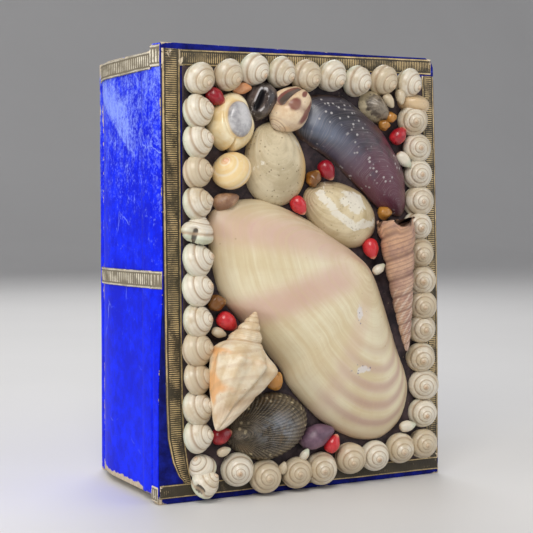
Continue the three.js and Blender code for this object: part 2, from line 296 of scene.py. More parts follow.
def makeFloor():
    finish = Finish("paleFloor")
    cloud = finish.noise(3.0, detail=4.0)
    tone = finish.blend(cloud, (0.70, 0.69, 0.68, 1), (0.78, 0.77, 0.76, 1))
    material = finish.done(Base_Color=tone, Roughness=0.55)
    half = 3.0
    bend = 1.2  # radius of the sweep up to the backdrop
    depth = 1.6
    profile = [(-2.5, 0.0), (depth, 0.0)]
    for i in range(1, 13):
        angle = math.pi / 2 * i / 12
        profile.append((depth + bend * math.sin(angle), bend * (1 - math.cos(angle))))
    profile.append((depth + bend, 3.5))
    points = [(x, y, z) for y, z in profile for x in (-half, half)]
    floor = makeObject("floor", points, gridFaces(len(profile), 2), None, material)


def paperFinish(name, deep, pale, scuff, scuffLift):
    # Glazed coloured paper over pasteboard: mottled, rubbed pale, and worn through where "wear" is high
    finish = Finish(name)
    mottle = finish.noise(210, detail=5.0, rough=0.7)
    broad = finish.noise(38, detail=3.0)
    grain = finish.noise(2400, detail=2.0)
    tone = finish.blend((mottle * 0.6 + broad * 0.4).step(0.38, 0.64), deep, pale)
    rubs = finish.noise(150, detail=8.0, rough=0.85, bend=0.8)
    flecks = finish.noise(900, detail=3.0, rough=0.7)
    streak = finish.noise(1.0, detail=5.0, rough=0.7, at=finish.stretch(420, 420, 150, (0.25, 0.1, 0.0)))
    rubbed = rubs * 0.45 + streak * 0.25 + flecks * 0.3 + finish.value("rub") * 0.115 + scuffLift
    rubbed = rubbed.step(0.52, 0.72)
    tone = finish.blend(rubbed * 0.9, tone, scuff)
    scratch = finish.cells(26, "DISTANCE_TO_EDGE", at=finish.node(
        "ShaderNodeVectorMath", dict(operation="ADD"),
        [finish.place(), finish.node("ShaderNodeVectorMath", dict(operation="SCALE"), {
            0: finish.noise(60, output=1), "Scale": 0.012})]))
    line = scratch.step(0.012, 0.0) * finish.noise(45, detail=2.0).step(0.56, 0.66)
    tone = finish.blend(line * 0.6, tone, scuff)
    torn = finish.noise(420, detail=5.0, rough=0.7, bend=0.6)
    patch = finish.noise(110, detail=3.0, rough=0.6)
    worn = (finish.value("wear") + (torn - 0.5) * 0.9 + (patch - 0.5) * 1.1).step(0.52, 0.58)
    cream = finish.blend(finish.noise(700, detail=4.0), srgb(226, 214, 190), srgb(168, 142, 108))
    tone = finish.blend(worn, tone, cream)
    height = grain * 0.10 + mottle * 0.3 + broad * 0.7 - worn * 1.2 - line * 0.4
    return finish.done(
        Base_Color=tone,
        Roughness=(0.42 + mottle * 0.18 + rubbed * 0.12 + worn * 0.35).least(0.95),
        Specular_IOR_Level=0.1,
        Normal=finish.bump(height, 0.16, 0.7))


def pageFinish(name, pale, dark):
    # Cream pasteboard edge, with the fine lines of its layers
    finish = Finish(name)
    layers = finish.noise(1.0, detail=3.0, rough=0.6, at=finish.stretch(160, 2600, 160))
    cloud = finish.noise(60, detail=5.0, rough=0.7)
    spots = finish.noise(900, detail=2.0).step(0.66, 0.74)
    tone = finish.blend((layers * 0.45 + cloud * 0.6).step(0.35, 0.75), dark, pale)
    tone = tone.under(spots * 0.35, 120, 92, 60)
    return finish.done(
        Base_Color=tone, Roughness=0.86,
        Normal=finish.bump(layers * 0.7 + cloud * 0.3, 0.12, 0.5))


def liningFinish(name):
    # Old plain lining paper: soft fibre, foxing spots and a little dust
    finish = Finish(name)
    fibre = finish.noise(1400, detail=5.0, rough=0.7)
    cloud = finish.noise(22, detail=4.0)
    foxing = finish.cells(70).step(0.16, 0.05) * finish.noise(30).step(0.52, 0.62)
    tone = finish.blend(cloud.step(0.3, 0.7), srgb(214, 201, 172), srgb(232, 222, 198))
    tone = tone.under(fibre * 0.35, 196, 182, 150)
    tone = tone.under(foxing * 0.5, 158, 118, 72)
    return finish.done(Base_Color=tone, Roughness=0.82, Normal=finish.bump(fibre, 0.08, 0.5))


def giltFinish(name, crest, hollow, dirt, shine):
    # Embossed gilt paper: "crest" is the relief, bright on top where it is rubbed, dark in the hollows
    finish = Finish(name)
    relief = finish.value("crest")
    patch = finish.noise(150, detail=4.0, rough=0.65)
    fine = finish.noise(1500, detail=3.0, rough=0.7)
    bright = (relief * 1.15 + (fine - 0.5) * 0.5 + (patch - 0.5) * 0.7 - 0.12).step(0.26, 0.74)
    tone = finish.blend(bright, hollow, crest)
    tarnish = finish.noise(70, detail=3.0).step(0.42, 0.66)
    tone = finish.blend(tarnish * 0.4, tone, dirt)
    fray = finish.noise(260, detail=5.0, rough=0.7, bend=0.5)
    bare = (finish.value("wear") + (fray - 0.5) * 1.6).step(0.50, 0.60)
    tone = tone.under(bare, 222, 205, 176)
    return finish.done(
        Base_Color=tone,
        Metallic=((bright * 0.35 + 0.15) * (1 - bare)) * shine,
        Roughness=0.55 - bright * 0.17 + bare * 0.25,
        Normal=finish.bump(fine * 0.5 + patch * 0.5, 0.07, 0.6))


navyPaper = paperFinish("navyPaper", srgb(10, 14, 84), srgb(20, 32, 140), srgb(80, 90, 190), -0.05)
bluePaper = paperFinish("bluePaper", srgb(4, 22, 208), srgb(10, 42, 250), srgb(150, 172, 255), -0.02)
pageEdges = pageFinish("pageEdges", srgb(224, 210, 178), srgb(176, 152, 112))
trayLining = liningFinish("trayLining")
tarnishedGilt = giltFinish("tarnishedGilt", srgb(226, 198, 146), srgb(58, 50, 36), srgb(84, 76, 56), 0.8)
silverGilt = giltFinish("silverGilt", srgb(232, 222, 200), srgb(118, 108, 88), srgb(124, 112, 88), 0.45)


def reworkNode(node, name, material, bevel, cuts, warp, wearAt, rubAt=None):
    # The CAD board again, its arrises softened, its faces cut fine enough to warp and to carry wear
    work = bmesh.new()
    work.from_mesh(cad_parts[node].data)
    bmesh.ops.remove_doubles(work, verts=work.verts, dist=1e-6)
    bmesh.ops.dissolve_limit(work, angle_limit=0.02, verts=work.verts, edges=work.edges)
    sharp = [e for e in work.edges if len(e.link_faces) == 2 and e.calc_face_angle() > 0.6]
    bmesh.ops.bevel(work, geom=sharp, offset=bevel * mm, segments=3, profile=0.5, affect="EDGES")
    low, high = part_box(node)
    for axis in range(3):
        spacing = cuts[axis] * mm
        for i in range(1, int((high[axis] - low[axis]) / spacing) + 1):
            spot, facing = Vector((0, 0, 0)), Vector((0, 0, 0))
            spot[axis] = low[axis] + i * spacing
            facing[axis] = 1.0
            geom = work.verts[:] + work.edges[:] + work.faces[:]
            bmesh.ops.bisect_plane(work, geom=geom, plane_co=spot, plane_no=facing)
    bmesh.ops.triangulate(work, faces=[f for f in work.faces if len(f.verts) > 4])
    centre = (low + high) / 2
    for v in work.verts:
        wave = noise.noise(v.co * 26) * 0.7 + noise.noise(v.co * 90) * 0.3
        inward = (centre - v.co).normalized()
        v.co += inward * max(wave + 0.35, 0.0) * warp * mm
    mesh = bpy.data.meshes.new(name)
    work.to_mesh(mesh)
    work.free()
    for key, rule in (("wear", wearAt), ("rub", rubAt)):
        numbers = [rule(v.co, low, high) if rule else 0.0 for v in mesh.vertices]
        mesh.attributes.new(key, "FLOAT", "POINT").data.foreach_set("value", numbers)
    mesh.materials.clear()
    mesh.materials.append(material)
    mesh.shade_smooth()
    mesh.set_sharp_from_angle(angle=0.7)
    made = bpy.data.objects.new(name, mesh)
    bpy.context.scene.collection.objects.link(made)
    return made


def boxWear(reach, amount=0.62):  # highest on the arrises, higher still at the corners
    def rule(p, low, high):
        gaps = sorted(min(p[i] - low[i], high[i] - p[i]) / mm for i in range(3))
        edge = math.hypot(gaps[0], gaps[1])
        tip = math.hypot(edge, gaps[2])
        return amount * smooth(reach, 0.0, edge) + 0.35 * smooth(9.0, 0.0, tip)
    return rule


def spineWear(p, low, high):
    head, tail = (high.z - p.z) / mm, (p.z - low.z) / mm
    rear = (high.y - p.y) / mm
    ragged = 1.8 * noise.noise(Vector((0.0, p.y * 240, 3.0)))
    torn = 1.0 * smooth(3.8, 0.6, tail + ragged) + 0.8 * smooth(2.2, 0.3, head + ragged * 0.5)
    corner = 0.5 * smooth(26.0, 0.0, math.hypot(rear, tail))
    return torn + corner + 0.45 * smooth(1.6, 0.0, rear)


def spineRub(p, low, high):  # paler with handling towards the head
    share = (p.z - low.z) / (high.z - low.z)
    back = (p.y - low.y) / mm
    crease = (p.z - low.z) / mm - (122 + 0.62 * back)  # a fold in the paper runs down from the rear
    flap = 0.75 * smooth(-0.4, 1.0, crease) * smooth(22, 8, crease) * smooth(14, 24, back)
    return smooth(0.45, 1.0, share) * 0.95 - 0.35 * smooth(0.5, 0.2, share) + flap


def makeBoards():
    lid = reworkNode("lid_board", "lidBoard", navyPaper, 0.5, (3, 1.8, 3), 0.22, boxWear(0.9, 0.5))
    finishPiece(lid, "lid", "navy_paper", "lid_board")
    rear = reworkNode("rear_board", "rearBoard", bluePaper, 0.5, (4, 2.1, 4), 0.25, boxWear(1.3), spineRub)
    finishPiece(rear, "case", "blue_paper", "rear_board")
    cover = reworkNode("spine_cover", "spineCover", bluePaper, 0.35, (50, 1.6, 1.6), 0.0, spineWear,
                       spineRub)
    for v in cover.data.vertices:
        dent = 0.8 * math.exp(-((v.co.z - 0.151) ** 2 + (v.co.y - 0.028) ** 2 * 0.6) / 0.00012)
        wave = noise.noise(v.co * 22) * 0.35 + noise.noise(v.co * 70) * 0.14
        v.co.x += (dent + max(wave + 0.22, 0)) * mm
    finishPiece(cover, "case", "blue_paper", "spine_cover")
    for node in ("head_wall", "tail_wall", "fore_edge_wall"):
        wall = reworkNode(node, node.replace("_", ""), pageEdges, 0.4, (6, 6, 6), 0.12, None)
        finishPiece(wall, "case", "cream_board", node)
    for node in ("spine_inner_wall", "front_rail"):
        wall = reworkNode(node, node.replace("_", ""), pageEdges, 0.3, (6, 6, 6), 0.05, None)
        finishPiece(wall, "case", "cream_board", node)
    for node in ("tray_lining", "lid_lining"):
        paint(node, trayLining)
    print("boards done")


def paint(node, material):  # a CAD node kept as it is, in a better finish
    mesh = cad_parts[node].data
    mesh.materials.clear()
    mesh.materials.append(material)


def crossStrip(left, right, out, s, settings):
    # One row of points across a strip: plain rims, ladder rungs between, relief along the way
    rung = 0.5 + 0.5 * math.cos(2 * math.pi * s / settings["pitch"])
    rung = rung ** 0.7
    row, crests = [], []
    for i in range(settings["across"]):
        w = i / (settings["across"] - 1)
        rimShare = settings["rim"]
        inside = smooth(rimShare, rimShare + 0.07, w) * smooth(1 - rimShare, 1 - rimShare - 0.07, w)
        ridge = math.exp(-((min(w, 1 - w) - rimShare * 0.5) / 0.05) ** 2)
        press = settings["press"] + 0.5 * noise.noise(Vector((s * 0.16, w * 2.2, settings["seed"])))
        wander = 0.5 + 0.5 * noise.noise(Vector((s * 1.4, w * 7, settings["seed"] + 5)))
        relief = inside * rung * min(max(press, 0.12), 1.0) * (0.7 + 0.3 * wander) + ridge * 0.85
        edge = smooth(0.0, 0.035, min(w, 1 - w))
        lift = settings["thick"] * (0.35 * edge + 0.65 * relief)
        row.append(left.lerp(right, w) + out * lift * mm)
        crests.append(relief)
    return row, crests


def makeStrip(name, rails, settings, material, wearAt):
    # rails: (left, right, outward) along the strip; the back is closed a hair behind the front
    points, crests, wears, s = [], [], [], 0.0
    across = settings["across"]
    for k, (left, right, out) in enumerate(rails):
        middle = (left + right) / 2
        if k:
            s += (middle - lastMiddle).length / mm
        lastMiddle = middle
        row, relief = crossStrip(left, right, out, s, settings)
        points += row + [right - out * 0.03 * mm, left - out * 0.03 * mm]
        crests += relief + [0.0, 0.0]
        wears += [wearAt(k / (len(rails) - 1), i / (across - 1)) for i in range(across)] + [0.0, 0.0]
    columns = across + 2
    faces = gridFaces(len(rails), columns, wrap=True)
    faces.append(tuple(range(columns)))
    faces.append(tuple(range((len(rails) - 1) * columns, len(rails) * columns)))
    strip = makeObject(name, points, faces, dict(crest=crests, wear=wears), material)
    strip.data.set_sharp_from_angle(angle=1.0)
    return strip


stripSettings = dict(pitch=0.84, across=19, rim=0.15, thick=0.34, seed=1.0, press=0.8)


stripStep = 0.13  # between two rows of points, in millimetres


def railsBetween(leftLine, rightLine, out):
    # Both lines are lists of points, resampled together
    def along(line, t):
        spot = t * (len(line) - 1)
        i = min(int(spot), len(line) - 2)
        return line[i].lerp(line[i + 1], spot - i)
    length = sum((leftLine[i + 1] - leftLine[i]).length for i in range(len(leftLine) - 1)) / mm
    count = max(int(length / stripStep), 8)
    wobble = []
    for k in range(count + 1):
        t = k / count
        left, right = along(leftLine, t), along(rightLine, t)
        sway = noise.noise(Vector((t * 9, length, 3.0))) * 0.12 * mm
        side = (right - left).normalized()
        wobble.append((left + side * sway, right + side * sway, out))
    return wobble


lidEdge = [(0, 0), (45, 0.2), (68, 1.3), (84, 2.1), (100, 2.1), (140, 1.6), (180, 1.3)]  # it leans in


def leanAt(z):  # how far in the lid's spine edge lies, in metres, at height z
    height = z / mm
    for (z0, x0), (z1, x1) in zip(lidEdge, lidEdge[1:]):
        if height <= z1:
            return mix(x0, x1, (height - z0) / (z1 - z0)) * mm
    return lidEdge[-1][1] * mm


trims = {
    "trimLeft": dict(node="trim_left", seed=1, wear=0.34, left=[
        (1.5, 177.6), (1.8, 140), (2.3, 100), (2.6, 60), (2.9, 42), (3.6, 26), (5.6, 16.5), (8.4, 10.6),
        (11.6, 7.3)],
        right=[(9.4, 177.6), (9.6, 140), (9.8, 100), (10.1, 60), (10.3, 42), (11.0, 26), (12.2, 17),
               (13.2, 11), (13.8, 7.3)]),
    "trimTop": dict(node="trim_top", seed=2, wear=0.3, left=[(9.5, 171.2), (60, 171.9), (127.4, 172.8)],
                    right=[(9.5, 177.6), (60, 178.4), (127.2, 179.4)]),
    "trimRight": dict(node="trim_right", seed=3, wear=0.2, left=[
        (122.8, 172.2), (124.0, 140), (125.4, 100), (126.0, 60), (126.2, 7)],
        right=[(128.7, 172.2), (129.9, 140), (131.2, 100), (132.0, 60), (132.5, 7)]),
    "trimBottom": dict(node="trim_bottom", seed=4, wear=0.1, press=0.35,
                       left=[(0.3, 2.3), (60, 2.2), (132.3, 1.8)],
                       right=[(0.3, 7.7), (60, 7.6), (132.3, 7.4)]),
}


def makeTrims():
    outward = Vector((0, -1, 0))
    for name, spec in trims.items():
        settings = dict(stripSettings, seed=spec["seed"], press=spec.get("press", 0.8))
        left = [onLid(x, z, 0.06) for x, z in spec["left"]]
        right = [onLid(x, z, 0.06) for x, z in spec["right"]]

        def wearAt(t, w, amount=spec["wear"]):
            rim = smooth(0.14, 0.0, min(w, 1 - w))
            end = smooth(0.04, 0.0, min(t, 1 - t))
            return rim * amount + end * 0.4
        strip = makeStrip(name, railsBetween(left, right, outward), settings, tarnishedGilt, wearAt)
        finishPiece(strip, "lid", "tarnished_gilt", spec["node"])


spineFlat, spineRound, bandLift = 45.5, 65, 0.45  # flat length, radius of the curve, how far a band lies out


def spineRails(node, drop):
    # Follows the band's node round the spine; drop is how far its rear end hangs, in millimetres
    low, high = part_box(node)
    cover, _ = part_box("spine_cover")
    flatEnd = lidLow.y + spineFlat * mm
    radius = spineRound * mm + bandLift * mm
    start = low.y - 0.3 * mm
    flat = [(cover.x - bandLift * mm, start + t / 24 * (flatEnd - start),
             Vector((-1, 0, 0))) for t in range(25)]
    reach = math.asin((high.y - flatEnd) / radius)
    line = list(flat)
    for i in range(1, 25):
        a = reach * i / 24
        line.append((cover.x + spineRound * mm - radius * math.cos(a), flatEnd + radius * math.sin(a),
                     Vector((-math.cos(a), math.sin(a), 0))))
    dense, step = [], stripStep * mm
    for (x0, y0, n0), (x1, y1, n1) in zip(line, line[1:]):
        count = max(int(math.hypot(x1 - x0, y1 - y0) / step), 1)
        for k in range(count):
            t = k / count
            dense.append((x0 + (x1 - x0) * t, y0 + (y1 - y0) * t, n0.lerp(n1, t)))
    dense.append(line[-1])
    rails = []
    for x, y, out in dense:
        share = (y - low.y) / (high.y - low.y)
        hang = drop * share * mm
        sway = noise.noise(Vector((y * 60, drop, 1))) * 0.2 * mm
        rails.append((Vector((x, y, low.z - hang + sway)), Vector((x, y, high.z - hang + sway)), out))
    return rails


def makeBands():
    def wearAt(t, w):
        rim = smooth(0.16, 0.02, min(w, 1 - w))
        end = smooth(0.05, 0.0, min(t, 1 - t))
        return rim * 0.42 + end * 0.45
    for name, node, drop in (("spineHeadBand", "spine_head_band", 0.4),
                             ("spineMiddleBand", "spine_middle_band", 1.2)):
        settings = dict(stripSettings, seed=len(name), pitch=2.0, thick=0.5)
        band = makeStrip(name, spineRails(node, drop), settings, silverGilt, wearAt)
        finishPiece(band, "case", "silver_gilt", node)
    for node in ("lid_band_head", "lid_band_middle", "lid_band_tail"):
        low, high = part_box(node)
        lean = leanAt((low.z + high.z) / 2)
        rise = 1.5 * mm if node.endswith("head") else 0.0
        rails, count = [], 40
        for k in range(count + 1):
            x = high.x - lean * k / count
            y = low.y + (high.y + 0.3 * mm - low.y) * k / count
            rails.append((Vector((x, y, low.z)), Vector((x, y, high.z + rise)), Vector((-1, 0, 0))))
        settings = dict(stripSettings, seed=len(node), pitch=1.9, thick=0.4)
        torn = 0.35 if node.endswith("tail") else 0.0
        name = node.replace("_", "")
        strip = makeStrip(name, rails, settings, silverGilt, lambda t, w: wearAt(t, w) + torn)
        finishPiece(strip, "lid", "silver_gilt", node)
    print("strips done")


def makeHinge():
    # The covering paper runs from the spine over the crease to the lid's side, so it bends there
    caseLow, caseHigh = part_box("outer_hinge_case")
    sideLow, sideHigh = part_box("outer_hinge_lid")
    crease = (caseLow.y + sideHigh.y) / 2
    rows, columns = 120, 26
    outer, inner, wears, rubs = [], [], [], []
    for j in range(rows + 1):
        t = j / rows
        for i in range(columns + 1):
            y = mix(sideLow.y, caseHigh.y, i / columns)
            low, high = (sideLow.z, sideHigh.z) if y < crease else (caseLow.z, caseHigh.z)
            z = mix(low, high, t)
            nip = 0.5 * math.exp(-((y - crease) / (0.7 * mm)) ** 2) * mm
            wave = noise.noise(Vector((y * 120, 0, z * 60))) * 0.08 * mm
            fade = smooth(caseHigh.y, caseHigh.y - 2.5 * mm, y) * 0.22 * mm
            lean = leanAt(z) * min(max((crease - y) / (crease - sideLow.y), 0.0), 1.0)
            outer.append((caseHigh.x + lean - fade + nip * 0.8 + wave * 0.5, y, z))
            inner.append((caseHigh.x + lean + 0.05 * mm + nip, y, z))
            frontEdge = smooth(1.3 * mm, 0.0, y - sideLow.y)
            foldLine = smooth(0.7 * mm, 0.0, abs(y - crease))
            tail = smooth(4.0 * mm, 0.5 * mm, z - low)
            wears.append(0.42 * frontEdge + 0.3 * foldLine + 0.6 * tail)
            rubs.append(spineRub(Vector((0, mix(y, caseHigh.y, 0.5), z)), *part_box("spine_cover")))
    faces = sheetFaces(rows, columns)
    paper = makeObject("hingePaper", outer + inner, faces, dict(wear=wears * 2, rub=rubs * 2), bluePaper)
    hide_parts("outer_hinge_case", "outer_hinge_lid")
    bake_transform(paper)
    for node in ("inner_hinge_case", "inner_hinge_lid"):
        paint(node, navyPaper)
    print("hinge done")


def lidWay(right, up, out):  # a unit direction, seen from in front of the lid
    return Vector((right, -out, up)).normalized()


def shareAt(spec, turn):  # how far down the axis a whorl has come
    whorls, growth = spec["whorls"], spec["growth"]
    if "body" not in spec:
        return (growth ** turn - 1) / (growth ** whorls - 1)
    above = 1 - spec["body"]
    if turn < whorls - 1:
        return above * (growth ** turn - 1) / (growth ** (whorls - 1) - 1)
    return above + spec["body"] * (turn - whorls + 1) ** 1.15


def spiralShell(heap, centre, way, spec, spin=0.0, tint=0.5, shape=None, mark=None):
    # A coiled shell. Its rows of points run along the suture, so each row is one line of the spiral.
    # share is 0 at the apex and 1 at the base; turn counts whorls down from the apex. An angle is 0
    # towards the viewer and a quarter turn to the right where the apex is up.
    columns, perWhorl, whorls = spec["columns"], spec["perWhorl"], spec["whorls"]
    front = lidWay(-0.474, 0.05, 0.879)
    side = (front - way * front.dot(way)).normalized()
    across = way.cross(side)
    rows = int((whorls + 1) * perWhorl) + 1
    points, grooves, shares, ridges, marks = [], [], [], [], []
    for j in range(rows):
        place = (j / perWhorl) % 1.0
        groove = (4 * place * (1 - place)) ** 0.55
        for i in range(columns):
            turn = min(max(j / perWhorl - i / columns, 0.0), whorls)
            share = shareAt(spec, turn)
            angle = (2 * math.pi * i / columns + spin + math.pi) % (2 * math.pi) - math.pi
            radius = spec["radius"] * spec["profile"](share) * (1 + spec["groove"] * (groove - 0.7))
            if shape:
                radius *= shape(angle, share, place)
            spoke = side * math.cos(angle) + across * math.sin(angle)
            along = spec["height"] * (spec["waist"] - share)
            if "jag" in spec:  # the broken mouth
                along -= spec["jag"] * smooth(0.86, 1.0, share) * math.sin(angle * 3 + math.sin(angle * 7))
            points.append(centre + (way * along + spoke * radius) * mm)
            grooves.append(groove)
            shares.append(share)
            marks.append(mark(angle, share, place) if mark else 0.0)
            ridges.append(0.5 + 0.5 * math.cos(2 * math.pi * spec.get("cords", 4) * place))
    faces = []
    for j in range(rows - 1):
        for i in range(columns):
            if i < columns - 1:
                b, c = j * columns + i + 1, (j + 1) * columns + i + 1
            else:
                b, c = max(j - perWhorl, 0) * columns, max(j + 1 - perWhorl, 0) * columns
            faces.append((j * columns + i, b, c, (j + 1) * columns + i))
    base = (rows - 1) * columns
    faces.append(tuple(base + i for i in range(columns)))
    faces = [face for face in faces if len({tuple(points[k]) for k in face}) > 2]
    tints = [tint] * len(points)
    heap.add(points, faces, groove=grooves, share=shares, tint=tints, ridge=ridges, mark=marks)


def roundOutline(corners, count):
    # A closed smooth line through the corners, at even distances
    dense, n = [], len(corners)
    for i in range(n):
        a, b, c, d = (Vector(corners[(i + k) % n]) for k in (-1, 0, 1, 2))
        for k in range(24):
            t = k / 24
            dense.append(0.5 * (2 * b + (c - a) * t + (2 * a - 5 * b + 4 * c - d) * t * t
                                + (3 * b - a - 3 * c + d) * t ** 3))
    lengths = [0.0]
    for i in range(len(dense)):
        lengths.append(lengths[-1] + (dense[(i + 1) % len(dense)] - dense[i]).length)
    line, k = [], 0
    for i in range(count):
        goal = lengths[-1] * i / count
        while lengths[k + 1] < goal:
            k += 1
        t = (goal - lengths[k]) / (lengths[k + 1] - lengths[k])
        line.append(dense[k].lerp(dense[(k + 1) % len(dense)], t))
    return line


def ovalOutline(x, z, long, wide, tilt, pear):
    turn = math.radians(tilt)
    line, corners = [], 16
    for i in range(corners):
        a = 2 * math.pi * i / corners
        u, v = long * math.cos(a), wide * math.sin(a) * (1 - pear * math.cos(a))
        line.append((x + u * math.cos(turn) - v * math.sin(turn),
                     z + u * math.sin(turn) + v * math.cos(turn)))
    return line


class Outline:  # a closed line and how far each place lies from its middle towards it
    def __init__(self, corners, middle, count):
        self.line = roundOutline(corners, count)
        self.middle = Vector(middle)
        self.reach = [0.0] * 361
        ends = [(math.atan2(p.y - middle[1], p.x - middle[0]), (p - self.middle).length)
                for p in roundOutline(corners, 720)]
        for angle, length in ends:
            k = int(math.degrees(angle) + 360) % 360
            self.reach[k] = max(self.reach[k], length)
        for k in range(360):
            if not self.reach[k]:
                self.reach[k] = self.reach[k - 1] or self.reach[(k + 1) % 360]
        self.reach[360] = self.reach[0]

    def edge(self, p):
        offset = p - self.middle
        degrees = (math.degrees(math.atan2(offset.y, offset.x)) + 360) % 360
        k = int(degrees)
        return offset.length / mix(self.reach[k], self.reach[k + 1], degrees - k)


def dome(heap, spec, relief=None, paint=None):
    # A shell lying on its rim: rings of growth spread from the beak to the margin, and the height
    # falls away from the crown. relief adds millimetres; paint gives further values for the finish.
    outline = Outline(spec["outline"], spec["crown"], spec["rays"])
    beak = Vector(spec["beak"])
    nearest = min(range(spec["rays"]), key=lambda i: (outline.line[i] - beak).length)
    margin = outline.line[nearest:] + outline.line[:nearest]
    rings, rays = spec["rings"], spec["rays"]
    points, values = [], dict(growth=[], edge=[], ray=[])
    for j in range(rings + 1):
        grown = (j / rings) ** 0.85
        for i in range(rays):
            p = beak.lerp(margin[i], grown)
            edge = min(outline.edge(p), 1.0)
            out = spec["foot"] + spec["rise"] * (1 - edge ** spec["flat"]) ** spec["steep"]
            if relief:
                out += relief(p.x, p.y, grown, i / rays, edge)
            points.append(onLid(p.x, p.y, out))
            values["growth"].append(grown)
            values["edge"].append(edge)
            values["ray"].append(i / rays)
            for key, number in (paint(p.x, p.y, grown, i / rays, edge) if paint else {}).items():
                values.setdefault(key, []).append(number)
    for i in range(rays):  # the rim turns under and the back closes on the bed
        inner = outline.middle.lerp(margin[i], 0.985)
        points.append(onLid(inner.x, inner.y, 1.0))
        for key, numbers in values.items():
            numbers.append(numbers[rings * rays + i])
    faces = gridFaces(rings + 2, rays, wrap=True)
    faces.append(tuple((rings + 1) * rays + i for i in range(rays)))
    heap.add(points, faces, **values)


softShell = dict(Subsurface_Weight=0.05, Subsurface_Radius=(0.004, 0.003, 0.002), Subsurface_Scale=0.3)


def makeDome(name, spec, finish, slot, node, relief=None, paint=None):
    heap = Heap()
    dome(heap, spec, relief, paint)
    finishPiece(heap.make(name, finish), "lid", slot, node)


def spiralFinish(name, pale, mid, suture, outer, apex, gloss=0.3, coat=0.35, markAndShadeTone=None, line=0.75,
                 mottle=0.18,
                 hollow=None, nacre=0.0):
    finish = Finish(name)
    tint = finish.value("tint")
    share = finish.value("share")
    groove = finish.value("groove")
    cloud = finish.noise(170, detail=4.0, rough=0.6)
    fine = finish.noise(1300, detail=4.0, rough=0.7)
    tone = finish.blend((cloud + tint * 0.4 - 0.2).step(0.38, 0.62), mid, pale)
    lower = share.step(0.5, 0.9) * (cloud + tint * 0.7 - 0.3).step(0.35, 0.6)
    tone = finish.blend(lower * 0.75, tone, outer)
    tone = finish.blend(share.step(0.10, 0.0) * (0.4 + tint * 0.6), tone, apex)
    # the mark colour is a real pattern on most shells; on the pearl shells it is painted shade in a mouth
    # slit or a hole
    if markAndShadeTone:
        mark = (finish.value("mark") + (cloud - 0.5) * 0.5).step(0.35, 0.62)
        tone = finish.blend(mark * 0.9, tone, markAndShadeTone)
    # painted shade: where the mark rises above 1.15, inside a shell's mouth, the hollow colour stands in for
    # the shade there
    if hollow:
        tone = finish.blend(finish.value("mark").step(1.15, 1.5), tone, hollow)
    if nacre:
        tone = tone.under(groove.step(0.62, 0.2) * cloud.step(0.36, 0.6) * nacre, 238, 236, 226)
    seam = groove.step(0.78, 0.2) * share.step(0.98, 0.9)
    tone = finish.blend(seam * line, tone, suture)
    cords = finish.value("ridge").step(0.55, 0.95) * groove.step(0.3, 0.7)
    tone = finish.blend(cords * mottle, tone, suture)
    specks = finish.cells(420).step(0.18, 0.08) * finish.noise(160).step(0.52, 0.6)
    tone = finish.blend(specks * 0.55, tone, suture)
    tone = finish.blend((fine - 0.3) * mottle * 1.4, tone, suture)
    height = fine * 0.35 + finish.value("ridge") * 0.4 + cloud * 0.2
    return finish.done(
        Base_Color=tone,
        Roughness=gloss + fine * 0.16 + seam * 0.2,
        Coat_Weight=coat, Coat_Roughness=0.22,
        **dict(softShell, Subsurface_Weight=0.06),
        Normal=finish.bump(height, 0.09, 0.6))


def streakNoise(finish, across, along, detail, rough):
    where = finish.node("ShaderNodeCombineXYZ", None, {"X": across, "Y": along, "Z": 0.0})
    return finish.noise(1.0, detail, rough, at=where)


def growthLines(finish, count, wander, along):
    # Noise that runs with the growth of the shell: long along each ring, short from ring to ring
    across = (finish.value("growth") + (finish.noise(90, detail=2.0) - 0.5) * wander) * count
    return streakNoise(finish, across, finish.value("ray") * along, 5.0, 0.62)


def rayLines(finish, count, along):
    return streakNoise(finish, finish.value("ray") * count, finish.value("growth") * along, 4.0, 0.6)


def clamFinish():
    finish = Finish("largeClamShell")
    rings = growthLines(finish, 34, 0.02, 2.5)
    finer = growthLines(finish, 130, 0.01, 5.0)
    rays = rayLines(finish, 120, 2.0)
    cloud = finish.noise(45, detail=4.0, rough=0.55)
    tone = finish.blend((cloud * 0.5 + rings * 0.5).step(0.38, 0.60), srgb(216, 198, 158),
                        srgb(232, 222, 190))
    tone = tone.under(finish.value("pink") * (0.85 + (rings - 0.5) * 1.6), 206, 158, 150)
    bands = (finish.value("growth") * 58).sin() * 0.3 + 0.45 + (rings - 0.5) * 0.9
    tone = tone.under(finish.value("tan") * bands.step(0.0, 1.05) * 0.9, 188, 150, 136)
    tone = tone.under(finish.value("edge").step(0.80, 1.0) * 0.55, 186, 164, 132)
    tone = tone.under(rays.step(0.5, 0.75) * 0.25, 214, 188, 150)
    scar = (finish.value("scar") + (finish.noise(260, detail=5.0, rough=0.75) - 0.5) * 1.3).step(0.48, 0.66)
    tone = tone.under(scar * 0.75, 226, 222, 222)
    fleck = finish.cells(520).step(0.24, 0.12) * finish.value("scar").step(0.08, 0.4)
    tone = tone.under(fleck * 0.85, 84, 84, 128)
    pits = finish.cells(300).step(0.14, 0.05) * finish.noise(70, detail=2.0).step(0.55, 0.64)
    tone = tone.under(pits * 0.45, 160, 128, 92)
    height = rings * 0.9 + finer * 0.5 + rays * 0.12 - pits * 0.4 - scar * 0.25
    return finish.done(
        Base_Color=tone,
        Roughness=0.34 + finer * 0.16 + scar * 0.3, Coat_Weight=0.22, Coat_Roughness=0.28,
        **softShell,
        Normal=finish.bump(height, 0.16, 0.55))


